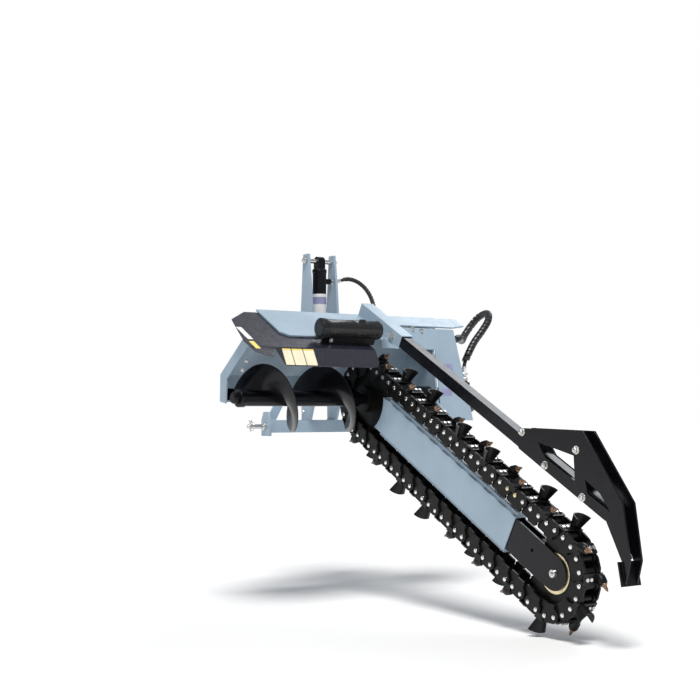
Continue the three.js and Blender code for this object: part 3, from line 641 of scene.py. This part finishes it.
def build_hoses():
    runs = [
        ("pressure_hose", PRESSURE_ROUTE, MOTOR_HOSE, "head"),
        ("return_hose", RETURN_ROUTE, MOTOR_HOSE, "head"),
        ("lift_hose_top", LIFT_TOP_ROUTE, LIFT_HOSE, "hitch_frame"),
        ("lift_hose_bottom", LIFT_BOTTOM_ROUTE, LIFT_HOSE, "hitch_frame"),
    ]
    for node, points, diameter, body in runs:
        route, length = hose(f"{node}_line", points, diameter, body, node)
        ferrule(f"{node}_ferrule_a", route, diameter / 2, body)
        ferrule(f"{node}_ferrule_b", route[::-1], diameter / 2, body)
        if node in GUARDS:
            name, before, after, *strip = GUARDS[node]
            spiral_guard(name, route, before, length - after, *strip, body)


# ---------- chain ----------
JOINING_LINKS = (21, 22)


def pin_at(index):
    """(u, n) of a chain pin, counted from the head wheel's top in the direction of travel."""
    index %= LINKS
    if index < RUN_LINKS:
        return -index * PITCH, PITCH_RADIUS
    if index < RUN_LINKS + WRAP_LINKS:
        angle = math.pi / 2 + (index - RUN_LINKS) * 2 * math.pi / WHEEL_TEETH
        return -TAIL + PITCH_RADIUS * math.cos(angle), PITCH_RADIUS * math.sin(angle)
    if index < 2 * RUN_LINKS + WRAP_LINKS:
        return -TAIL + (index - RUN_LINKS - WRAP_LINKS) * PITCH, -PITCH_RADIUS
    angle = 1.5 * math.pi + (index - 2 * RUN_LINKS - WRAP_LINKS) * 2 * math.pi / WHEEL_TEETH
    return PITCH_RADIUS * math.cos(angle), PITCH_RADIUS * math.sin(angle)


def link_matrix(index):
    """A link's own space: the middle of the link, u against the travel and n outward."""
    u0, n0 = pin_at(index)
    u1, n1 = pin_at(index + 1)
    travel = Vector((0, u1 - u0, n1 - n0)).normalized()
    outward = Vector((0, travel.z, -travel.y))
    turn = Matrix((Vector((1, 0, 0)), -travel, outward)).transposed().to_4x4()
    return Matrix.Translation((0, (u0 + u1) / 2, (n0 + n1) / 2)) @ turn


def link_plate(low, high, guide):
    """A side plate, straight outside, with a broad tab down beside the wheel or the boom."""
    half = PITCH / 2
    outline = arc(half, 0, 21.5, 68, -38, 6)
    outline += [(half, -30), (half, -43), (half - 6, -49),
                (6 - half, -49), (-half, -43), (-half, -30)]
    outline += arc(-half, 0, 21.5, 218, 112, 6)
    if guide:
        outline += [(-20, 26), (20, 26)]
    return prism(outline, low, high)


def chain_link(index):
    """The plates of one link with the roller at its first end, and that end's pin heads."""
    outer = index % 2 == 0
    inside = 35.2 if outer else 25.0
    half = PITCH / 2
    body = []
    for side in (-1, 1):
        low, high = sorted((side * inside, side * (inside + 9.2)))
        body.append(link_plate(low, high, outer))
    heads = []
    for _, axis in SIDES:
        collar = lathe([(44.2, 0), (44.2, 11.5), (45.8, 11.5), (46.2, 10.8), (46.2, 0)], 20)
        body.append(at(collar, 0, half, 0, axis))
        head = lathe([(44, 0), (44, 9.4), (48.4, 9.4), (49.7, 7.6), (50.2, 4), (50.2, 0)], 20)
        heads.append(at(head, 0, half, 0, axis))
    roller = lathe([(-23.5, 0), (-23.5, 13.5), (-22, 15), (22, 15), (23.5, 13.5), (23.5, 0)], 20)
    return body + [at(roller, 0, half, 0)], heads


def cup(side):
    """A half-round scoop, open towards the cut, that flares and leans forward as it rises."""
    rows = 6
    around = 12
    sections = []
    for row in range(rows + 1):
        t = row / rows
        middle = side * (26 + 4 * t)
        width = 22 + 15 * t
        depth = 26 + 24 * t
        wall = 7 - 2.5 * t
        foot = -8 - 16 * t
        outer = []
        inner = []
        for k in range(around + 1):
            angle = math.pi * (k / around - 0.5)
            x, u = math.sin(angle), math.cos(angle)
            peak = 20 + 55 * t + 4 * t * abs(x)
            outer.append((middle + width * x, foot + depth * u, peak))
            inner.append((middle + (width - wall) * x, foot + (depth - wall) * u - 1.5, peak))
        sections.append(outer + inner[::-1])
    return loft(sections)


def cutter_base(side):
    """The saddle plate across a cutter link and its side wing."""
    saddle = prism(round_box(-46, 46, -22, 22, 5), 21.5, 28, "n")
    outline = [(-24, 27), (24, 27), (16, 2), (-16, 2)]
    return [saddle, prism(outline, *sorted((side * 44.6, side * 49.4)))]


def bullet(side):
    """A round holder welded to its block, leaning into the cut, and its tip."""
    x = side * 30
    block = prism(round_box(-17, 20, 18, 36, 6), *sorted((x - 15, x + 15)))
    holder = lathe([(-8, 0), (-8, 17), (2, 20.5), (24, 19), (31, 15), (31, 0)], 24)
    tip = lathe([(30, 0), (30, 10), (33, 12.5), (36, 12.5), (38, 8), (54, 5.6), (61, 3),
                 (64, 0)], 20)
    lean = Matrix.Rotation(math.radians(138), 4, "X") @ TURNS["u"]
    lean = Matrix.Translation((x, 6, 30)) @ lean
    return [block, moved(holder, lean)], moved(tip, lean)


def add_cutter(number, place, teeth, bits, bolts):
    """Adds a cutter link's saddle, its bolts and its cup or bullet to the lists."""
    side = -1 if number % 2 == 0 else 1
    teeth += [moved(part, place) for part in cutter_base(side)]
    for x in (-side * 14, -side * 34):
        nut = lathe([(0, 0), (0, 8.5), (5.5, 8.5), (6.5, 7), (6.5, 0)], 6)
        bolts.append(moved(at(nut, x, 0, 28, "n"), place))
    if number % 5 in (1, 3):
        rivet = lathe([(0, 0), (0, 6), (3, 5), (3, 0)], 12)
        teeth.append(moved(cup(side), place))
        bolts.append(moved(at(rivet, side * 30, 14, 34, "-u"), place))
    else:
        holder, tip = bullet(side)
        teeth += [moved(part, place) for part in holder]
        bits.append(moved(tip, place))


def build_links(node, indices):
    body, heads, brass_heads, teeth, bits, bolts = [], [], [], [], [], []
    for index in indices:
        place = link_matrix(index)
        link, pins = chain_link(index)
        body += [moved(part, place) for part in link]
        row = brass_heads if index in JOINING_LINKS else heads
        row += [moved(part, place) for part in pins]
        if index % 2:
            add_cutter(index // 2, place, teeth, bits, bolts)
    piece(f"{node}_links", body, CHAIN, "head", bevel=0.9, replaces=(node,))
    piece(f"{node}_pin_heads", heads, PIN_STEEL, "head", bevel=0.4, segments=1)
    piece(f"{node}_cutters", teeth, CUTTER, "head", bevel=0.8)
    piece(f"{node}_bits", bits, COPPER, "head", bevel=0.3, segments=1)
    piece(f"{node}_cutter_bolts", bolts, ZINC, "head", bevel=0.4, segments=1)
    if brass_heads:
        piece(f"{node}_joining_pins", brass_heads, BRASS, "head", bevel=0.4, segments=1)


def build_chain():
    half_way = RUN_LINKS + WRAP_LINKS
    build_links("chain_upper_run", range(0, RUN_LINKS))
    build_links("chain_tail_wrap", range(RUN_LINKS, half_way))
    build_links("chain_lower_run", range(half_way, half_way + RUN_LINKS))
    build_links("chain_head_wrap", range(half_way + RUN_LINKS, LINKS))


# ---------- auger ----------
FLIGHT = [(-4.5, 30), (-4, 60), (-3, 149), (-1.5, AUGER_RADIUS),
          (1.5, AUGER_RADIUS), (3, 149), (4, 60), (4.5, 30)]
FLIGHT_STEPS = 80


def flight_angle(x):
    """How far the screw has turned at x."""
    return math.pi / 2 - BOOM_SLOPE + 2 * math.pi * (x - AUGER_TOP_CROSSING) / AUGER_PITCH


def build_auger():
    length = AUGER_END - AUGER_START
    count = round(length / AUGER_PITCH * FLIGHT_STEPS)
    sections = []
    for step in range(count + 1):
        x = AUGER_START + length * step / count
        angle = flight_angle(x)
        sections.append([(x + dx, r * math.cos(angle), r * math.sin(angle)) for dx, r in FLIGHT])
    tube = lathe([(-699, 25.6), (-699, 33), (-697, 35), (-72, 35), (-70, 33), (-70, 25.6)], 40)
    clamp = lathe([(-700, 25.6), (-700, 38), (-697, 40), (-672, 40), (-669, 38),
                   (-669, 25.6)], 40)
    piece("auger_screw", [loft(sections), tube], GLOSS_BLACK, "drive_rotor", bevel=0,
          replaces=("auger",))
    piece("auger_end_collar", [clamp], GLOSS_BLACK, "drive_rotor", bevel=0.8)
    piece("auger_root_weld", [root_weld(count * 2)], GLOSS_BLACK, "drive_rotor", bevel=0)


def root_weld(count):
    """The rippled bead between the screw and its tube."""
    sections = []
    for step in range(count):
        x = AUGER_START + (AUGER_END - AUGER_START) * step / count
        angle = flight_angle(x)
        swell = 3.2 * (1 + 0.2 * math.sin(step * 1.7))
        ring = []
        for k in range(6):
            turn = k * math.pi / 3
            r = 35 + swell * math.cos(turn)
            ring.append((x + 5 + swell * math.sin(turn), r * math.cos(angle), r * math.sin(angle)))
        sections.append(ring)
    return loft(sections)


# ---------- hood ----------
HOOD_N = 306
HOOD_BEND = math.radians(33)
HOOD_CREASE = -120
HOOD_RADIUS = 16
WING_EDGE = -668
PANEL_FACE = 6


def hood_fold(x, v, n):
    """Bends a flat sheet down behind the crease. v is the distance forward along the sheet."""
    past = HOOD_CREASE - v
    arc_length = HOOD_RADIUS * HOOD_BEND
    if past <= 0:
        return x, v, HOOD_N + n
    turn = min(past / HOOD_RADIUS, HOOD_BEND)
    rest = max(0.0, past - arc_length)
    centre_n = HOOD_N - HOOD_RADIUS
    radius = HOOD_RADIUS + n
    u = HOOD_CREASE - radius * math.sin(turn) - rest * math.cos(turn)
    return x, u, centre_n + radius * math.cos(turn) - rest * math.sin(turn)


def sheet_part(outline, low, high, lines, fold):
    """A flat sheet cut along lines across it, then folded. Its outline is in (x, v)."""
    shape = bmesh.new()
    verts = [shape.verts.new((a, b, low)) for a, b in outline]
    shape.faces.new(verts)
    for v in lines:
        geometry = shape.verts[:] + shape.edges[:] + shape.faces[:]
        bmesh.ops.bisect_plane(shape, geom=geometry, plane_co=(0, v, 0), plane_no=(0, 1, 0))
    lifted = bmesh.ops.extrude_face_region(shape, geom=shape.faces[:])
    top = [item for item in lifted["geom"] if isinstance(item, bmesh.types.BMVert)]
    bmesh.ops.translate(shape, vec=(0, 0, high - low), verts=top)
    shape.verts.index_update()
    points = [fold(*vert.co) for vert in shape.verts]
    faces = [tuple(vert.index for vert in face.verts) for face in shape.faces]
    shape.free()
    return points, faces


def build_hood():
    right_corner = arc(-182, -182, 32, 0, -90, 6)
    left_corner = arc(-626, -200, 14, 270, 200, 4)
    outline = [(-741, 144), (-767, 25), (-787, -75), (-782, -172), (-722, -222), (-668, -128)]
    outline += left_corner[::-1] + right_corner[::-1]
    outline += [(-150, -128), (-150, 6), (-540, 6), (-556, 30), (-556, 228), (-640, 228)]
    creases = [HOOD_CREASE - HOOD_RADIUS * HOOD_BEND * i / 5 for i in range(6)]
    sheet = sheet_part(outline, 0, 5, creases, hood_left_stays_flat)
    # The hood sheet wears the black with the painted sky reflection.
    piece("hood_sheet", [sheet], HOOD_BLACK_PAINTED_REFLECTION, "head", bevel=0.9, replaces=("auger_hood",))


def hood_left_stays_flat(x, v, n):
    """Only the stretch over the auger folds down. The wing to the left of it stays flat."""
    if x < WING_EDGE:
        return x, v, HOOD_N + n
    return hood_fold(x, v, n)


def label(name, corners_x, corners_v, material, fold):
    """A thin blank sticker with round corners, laid on a sheet."""
    outline = round_box(*corners_x, *corners_v, 2)
    piece(name, [sheet_part(outline, 5.2, 5.55, [], fold)], material, "head", bevel=0)


# ---------- canister ----------
def build_canister():
    tube = [(-104, 0), (-104, 36), (-107, 40), (-111, 42), (-118, 42), (-121, 40.4),
            (-240, 41), (-243, 41.6), (-249, 41.6), (-252, 41), (-372, 40.4), (-375, 42),
            (-391, 42), (-391, 37), (-114, 36), (-112, 0)]
    body = at(lathe(tube, 56), 0, CANISTER_U, CANISTER_N)
    piece("canister_tube", [body], PLASTIC, "head", bevel=0.4, replaces=("canister_body",))
    cap = []
    for k in range(28):
        rib = prism(round_box(-2.0, 2.0, 41, 44.6, 1.2, 2), -417, -395)
        turned = moved(rib, Matrix.Rotation(2 * math.pi * k / 28, 4, "X"))
        cap.append(at(turned, 0, CANISTER_U, CANISTER_N))
    lid = [(-392.4, 0), (-392.4, 43), (-415, 43), (-419, 41.5), (-421, 38), (-421, 30),
           (-419, 28), (-419, 0)]
    cap.append(at(lathe(lid, 56), 0, CANISTER_U, CANISTER_N))
    piece("canister_screw_cap", cap, PLASTIC, "canister_lid", bevel=0.4,
          replaces=("canister_cap",))
    barrel = lathe([(-14, 0), (-14, 6), (-12, 7), (12, 7), (14, 6), (14, 0)], 20)
    leaf = round_box(-222, -188, CANISTER_U - 9, CANISTER_U + 9, 4)
    catch = [at(barrel, -205, CANISTER_U, CANISTER_N + 43),
             prism(leaf, CANISTER_N + 38, CANISTER_N + 43, "n")]
    piece("canister_catch", catch, PLASTIC, "head", bevel=0.8)


# ---------- motor, couplers and fittings ----------
PORT_XS = (490, 552)
COUPLER_XS = (370, 430)
LIFT_PORT_NS = (585, 285)


def build_motor():
    case = [
        lathe([(346, 0), (346, 52), (349, 55), (364, 55), (368, 52), (368, 0)], 48),
        lathe([(366, 0), (366, 56), (372, 58), (452, 58), (458, 60), (460, 60), (460, 0)], 56),
        lathe([(458, 0), (458, 63), (462, 66), (474, 66), (476, 64.5), (478, 66), (528, 66),
               (530, 64.5), (532, 66), (590, 66), (597, 62), (600, 55), (600, 0)], 56),
    ]
    for k in range(4):
        angle = math.radians(45 + 90 * k)
        u, n = 52 * math.cos(angle), 52 * math.sin(angle)
        case.append(at(lathe([(345.6, 0), (345.6, 13), (366, 13), (366, 0)], 20), 0, u, n))
        bolt(366, u, n, "x", 15)
    for k in range(5):
        angle = math.radians(20 + 72 * k)
        bolt(600, 47 * math.cos(angle), 47 * math.sin(angle), "x", 13, washer=False)
    piece("motor_case", case, GLOSS_BLACK, "head", bevel=1.0, replaces=("hydraulic_motor",))
    ports = [prism(round_box(466, 576, -32, 22, 8), 40, 84, "n")]
    for x in PORT_XS:
        boss = lathe([(82, 0), (82, 20), (88, 20), (90, 18), (90, 0)], 32)
        ports.append(at(boss, x, -10, 0, "n"))
    piece("motor_port_block", ports, GLOSS_BLACK, "head", HITCH, 1.2)
    build_port_fittings()


def build_port_fittings():
    fittings = []
    for x in PORT_XS:
        for profile, sides in (
            ([(90.4, 0), (90.4, 19.5), (104, 19.5), (106, 18), (106, 0)], 6),
            ([(105, 0), (105, 13), (118, 13), (118, 0)], 32),
            ([(117, 0), (117, 20), (119, 21), (129, 21), (131, 19), (131, 0)], 6),
        ):
            fittings.append(at(lathe(profile, sides), x, -10, 0, "n"))
    piece("motor_hose_fittings", fittings, ZINC, "head", HITCH, 0.7,
          replaces=("pressure_fitting", "return_fitting"))


def build_motor_couplers():
    profile = [(0, 0), (0, 17), (2, 18), (20, 18), (22, 15), (46, 15), (46, 19), (48, 21),
               (58, 21), (60, 20), (62, 21), (72, 21), (74, 20), (76, 21), (90, 21), (92, 19),
               (100, 15), (108, 15), (108, 0)]
    couplers = []
    caps = []
    for x in COUPLER_XS:
        nut = lathe([(24, 0), (24, 21), (38, 21), (40, 19), (40, 0)], 6)
        cap = lathe([(109, 0), (109, 22), (111, 24), (128, 24), (132, 20), (132, 0)], 32)
        couplers += [at(part, x, 218, 235, "u") for part in (lathe(profile, 40), nut)]
        caps.append(at(cap, x, 218, 235, "u"))
    piece("motor_couplers", couplers, ZINC, "head", HEAD, 0.4,
          replaces=("pressure_coupler", "return_coupler"))
    piece("motor_coupler_caps", caps, RUBBER, "head", HEAD, 0.6)


def build_lift_couplers():
    profile = [(0, 0), (0, 12), (18, 12), (20, 15), (28, 15), (30, 14), (32, 15), (50, 15),
               (58, 11), (66, 11), (66, 0)]
    couplers = []
    for x, n in ((270, 320), (200, 140)):
        nut = lathe([(1, 0), (1, 14.5), (9, 14.5), (10, 13.5), (10, 0)], 6)
        couplers += [at(part, x, 441.4, n, "u") for part in (lathe(profile, 32), nut)]
    piece("lift_couplers", couplers, ZINC, "hitch_frame", HITCH, 0.4,
          replaces=("lift_coupler_top", "lift_coupler_bottom"))
    fittings = []
    for n in LIFT_PORT_NS:
        stem = lathe([(60.3, 0), (60.3, 7), (90, 7), (90, 0)], 24)
        nut = lathe([(82.5, 0), (82.5, 13), (95, 13), (96.6, 12), (96.6, 0)], 6)
        fittings += [at(part, 0, CYLINDER_U, n) for part in (stem, nut)]
    piece("lift_fittings", fittings, ZINC, "hitch_frame", HITCH, 0.4,
          replaces=("lift_fitting_top", "lift_fitting_bottom"))


# ---------- lift cylinder and hitch ----------
def build_lift_cylinder():
    tube = [(255, 17), (255, 33), (258, 36), (286, 36), (288, 35), (290, 36), (300, 36),
            (303, 34), (330, 34), (624, 34), (626, 36), (640, 36), (646, 30), (646, 0),
            (620, 0), (616, 28), (280, 28), (280, 17)]
    parts = [at(lathe(tube, 56), 0, CYLINDER_U, 0, "n")]
    eye = arc(CYLINDER_U, CYLINDER_PIN_N, 24, 180, 0, 16)
    parts.append(prism(eye + [(CYLINDER_U + 24, 636), (CYLINDER_U - 24, 636)], -19, 19))
    for n in LIFT_PORT_NS:
        port = round_box(CYLINDER_U - 13, CYLINDER_U + 13, n - 13, n + 13, 5)
        parts.append(prism(port, 30, 60))
    piece("lift_cylinder_tube", parts, GLOSS_BLACK, "hitch_frame", HITCH, 1.0,
          replaces=("lift_cylinder_barrel",))
    sleeves = [
        ("label", [(400, 34.2), (400, 34.7), (520, 34.7), (520, 34.2)], 56, WHITE, 0),
        ("stripe", [(470, 34.7), (470, 35.0), (505, 35.0), (505, 34.7)], 56, MAUVE, 0),
        ("wiper", [(249, 16.4), (249, 24), (255, 26), (255, 16.4)], 40, RUBBER, 0.5),
    ]
    for name, profile, sides, material, bevel in sleeves:
        sleeve = at(lathe(profile, sides), 0, CYLINDER_U, 0, "n")
        piece(f"lift_cylinder_{name}", [sleeve], material, "hitch_frame", HITCH, bevel)


def lynch_pin(x, u, n, radius):
    """A tapered pin through a lower hitch pin, with its spring ring of that radius."""
    profile = [(-26, 0), (-26, 3), (-22, 4.6), (20, 4.6), (24, 8), (30, 8), (30, 0)]
    sections = []
    for k in range(28):
        angle = math.pi * 2 * k / 28 * 0.93
        centre = Vector((0, radius * math.cos(angle) - radius, radius * math.sin(angle)))
        outward = Vector((0, math.cos(angle), math.sin(angle)))
        sections.append(ring_of(8, centre, outward, Vector((1, 0, 0)), 2.2))
    return [at(lathe(profile, 16), x, u, n, "n"), at(loft(sections), x, u + 2, n)]


# Each weld's radius and its points on the right. The left has the same.
HITCH_WELDS = [
    (3, [(81.5, 471, -98), (69, 471, -98), (69, 391, -98)]),
    (3, [(297, 461, -101), (297, 461, -159)]),
    (3, [(297, 399, -101), (297, 399, -159)]),
    (2.4, [(82, 437.5, 192), (82, 437.5, 274)]),
    (2.4, [(246, 437.5, -99.5), (294, 437.5, -99.5)]),
    (2.4, [(23.6, 481, 272), (23.6, 483, 388)]),
]


def build_hitch_details():
    pins = []
    nipples = []
    nipple = lathe([(-4, 0), (-4, 6), (2, 6), (3, 3.5), (8, 3.5), (9, 4.6), (12, 3),
                    (12, 0)], 16)
    for side, axis in SIDES:
        pins += lynch_pin(side * 392, 430, -130, 20)
        nipples.append(at(nipple, side * 115, PIVOT_U, PIVOT_N, axis))
    piece("lynch_pins", pins, ZINC, "hitch_frame", HITCH, 0.4)
    piece("grease_nipples", nipples, BRASS, "hitch_frame", HITCH, 0.3)
    for side, axis in SIDES:
        bolt(side * 90, CYLINDER_U, CYLINDER_PIN_N, axis, 18, "hitch", "hitch_frame", False)
        for u, n in ((450, -60), (450, 40), (440, 140)):
            bolt(side * 81, u, n, axis, 14, "hitch", "hitch_frame")
        for radius, points in HITCH_WELDS:
            mirrored = [(side * x, u, n) for x, u, n in points]
            weld(mirrored, radius, "hitch", "hitch_frame")


# ---------- fasteners, welds and stickers on the head ----------
def build_head_bolts():
    bolt(-362, -79, 327, "-u", 12)
    for u, n in ((38, 162), (50, 112)):
        bolt(-678, u, n, "-x", 13)
    for x, reach in ((272, 20), (220, 12)):
        panel_bolt(x, reach)
    for u, n in ((-180, -20), (-180, -58), (200, 250), (200, 60), (200, -80), (60, 200)):
        bolt(345, u, n, "x", 15)
    for u, n in ((-1027, 395), (-1201, 346), (-1430, 342), (-1321, 481)):
        for side, axis in SIDES:
            bolt(side * 33.7, u, n, axis, 21, "head", "crumber")


def build_head_welds():
    for side in (-1, 1):
        foot = [(side * 33.9, -1705, 243.5), (side * 33.9, -1755, 183)]
        weld(foot, 2.4, "head", "crumber", "black")
        weld([(side * 31.9, -126, 320.6), (side * 31.9, 230, 320.6)], 3)
        tube = [(side * 25.6, -1045, 378.2), (side * 25.6, -1340, 378.2)]
        weld(tube, 2.2, "head", "crumber", "black")
    weld([(-160, 245.5, 310), (-160, 245.5, -158)], 3)
    weld([(345.5, 245, 305), (345.5, 245, -118)], 3)
    weld([(334, -5.5, 0), (334, -5.5, 3)], 2)
    weld([(-571, 242, 311.5), (-160, 245, 311.5), (340, 245, 311.5)], 2.6)
    for rib in (-530, -350, -170):
        for x in (rib - 0.5, rib + 8.5):
            weld([(x, 99, 311), (x, 223, 22)], 2.2)


def build_head_details():
    build_head_bolts()
    build_head_welds()
    set_bolt = [
        lathe([(32, 8.2), (32, 17.3), (45, 17.3), (47, 16), (47, 8.2)], 6),
        lathe([(26.2, 0), (26.2, 8), (52, 8), (52, 0)], 24),
        lathe([(47.5, 0), (47.5, 14), (56, 14), (58, 12.5), (58, 0)], 6),
    ]
    piece("crumber_clamp_bolt", [at(part, 0, -60, 352, "-x") for part in set_bolt], ZINC,
          "head", bevel=0.5, replaces=("crumber_set_bolt",))
    ring = lathe([(-16.5, 66), (-16.5, 79), (16.5, 79), (16.5, 66)], 64)
    piece("tail_wheel_ring", [at(ring, 0, -TAIL, 0)], BRASS, "tail_rotor", bevel=0.6)
    for side, axis in SIDES:
        bolt(side * 34, -TAIL, 0, axis, 13, washer=False)


def on_panel(part):
    """Moves a part from the sloping panel's space: x, up along it, then out of its rear face."""
    slope = math.atan2(271, 363)
    tilt = Matrix.Rotation(math.pi / 2 - slope, 4, "X")
    return moved(part, Matrix.Translation((0, 139, 318)) @ tilt)


def panel_bolt(x, reach):
    """A bolt on the sloping rear panel, that far down from the deck."""
    for part in (lathe([(0, 0), (0, 11), (1.6, 11), (1.6, 0)], 20),
                 lathe([(1.6, 0), (1.6, 8.6), (8, 8.6), (9.4, 7), (9.4, 0)], 6)):
        head = on_panel(at(part, x, -reach, PANEL_FACE, "n"))
        FASTENERS.setdefault(("head", "head"), []).append(head)


def build_labels():
    for i, across in enumerate(((-634, -592), (-588, -534), (-530, -478))):
        label(f"lip_label_{i + 1}", across, (-211, -138), CREAM, hood_fold)
        label(f"lip_label_{i + 1}_top", across, (-137.5, -131), YELLOW, hood_fold)
    label("wing_label_white", (-762, -736), (-60, 60), WHITE, hood_left_stays_flat)
    label("wing_label_yellow", (-768, -744), (-150, -80), YELLOW, hood_left_stays_flat)
    patches = []
    for x, reach in ((380, 180), (360, 300)):
        outline = round_box(x, x + 62, -reach - 34, -reach, 3)
        patches.append(on_panel(prism(outline, PANEL_FACE + 0.05, PANEL_FACE + 0.4, "n")))
    piece("guard_labels", patches, MAUVE, "head", bevel=0)


def build_reflector():
    lens = [prism(round_box(-668, -632, 270, 288, 6), 58.5, 64, "u")]
    for x in range(-664, -634, 5):
        lens.append(prism(round_box(x, x + 3, 272.5, 285.5, 1.2, 2), 57.2, 59.5, "u"))
    piece("reflector_lens", lens, LENS, "head", bevel=0.6, replaces=("side_reflector",))


# ---------- floor, lights and world ----------
def build_studio():
    data = bpy.data.meshes.new("floor")
    shape = bmesh.new()
    bmesh.ops.create_circle(shape, cap_ends=True, segments=96, radius=60)
    shape.to_mesh(data)
    shape.free()
    floor = bpy.data.objects.new("floor", data)
    floor.location = (0, 0, CAD_BOX[0][2] - 0.015)
    bpy.context.scene.collection.objects.link(floor)
    look = Surface("pale_floor")
    tone = look.mix(look.remap(look.noise(0.7), 0.3, 0.7), (0.89, 0.89, 0.89), (0.91, 0.91, 0.91))
    look.link(tone, look.shader.inputs["Base Color"])
    look.put("Roughness", 0.85)
    data.materials.append(look.material)
    build_world()
    sun("key_sun", (-0.26, -0.40, 0.88), 3.0, 22, (1.0, 0.985, 0.96))
    sun("rim_sun", (0.7, 0.35, 0.6), 0.5, 25, (0.93, 0.96, 1.0))
    bpy.context.scene.view_settings.view_transform = "Standard"


def build_world():
    """White behind the trencher, with a dimmer fill in its shadows."""
    world = bpy.data.worlds.new("studio")
    bpy.context.scene.world = world
    world.use_nodes = True
    nodes = world.node_tree.nodes
    links = world.node_tree.links
    fill = nodes["Background"]
    fill.inputs["Color"].default_value = (0.90, 0.94, 1.0, 1)
    fill.inputs["Strength"].default_value = 0.34
    backdrop = nodes.new("ShaderNodeBackground")
    backdrop.inputs["Color"].default_value = (1.0, 1.0, 1.0, 1)
    rays = nodes.new("ShaderNodeLightPath")
    choice = nodes.new("ShaderNodeMixShader")
    links.new(rays.outputs["Is Camera Ray"], choice.inputs[0])
    links.new(fill.outputs["Background"], choice.inputs[1])
    links.new(backdrop.outputs["Background"], choice.inputs[2])
    links.new(choice.outputs["Shader"], nodes["World Output"].inputs["Surface"])


def sun(name, toward, strength, spread, color):
    light = bpy.data.lights.new(name, "SUN")
    light.angle = math.radians(spread)
    light.energy = strength
    light.color = color
    obj = bpy.data.objects.new(name, light)
    obj.rotation_euler = (-Vector(toward)).to_track_quat("-Z", "Y").to_euler()
    bpy.context.scene.collection.objects.link(obj)


random.seed(7)
build_camera()
build_hoses()
dress_cad_nodes()
build_chain()
build_auger()
build_hood()
build_canister()
build_motor()
build_motor_couplers()
build_lift_couplers()
build_lift_cylinder()
build_hitch_details()
build_head_details()
build_labels()
build_reflector()
build_gathered()
build_studio()
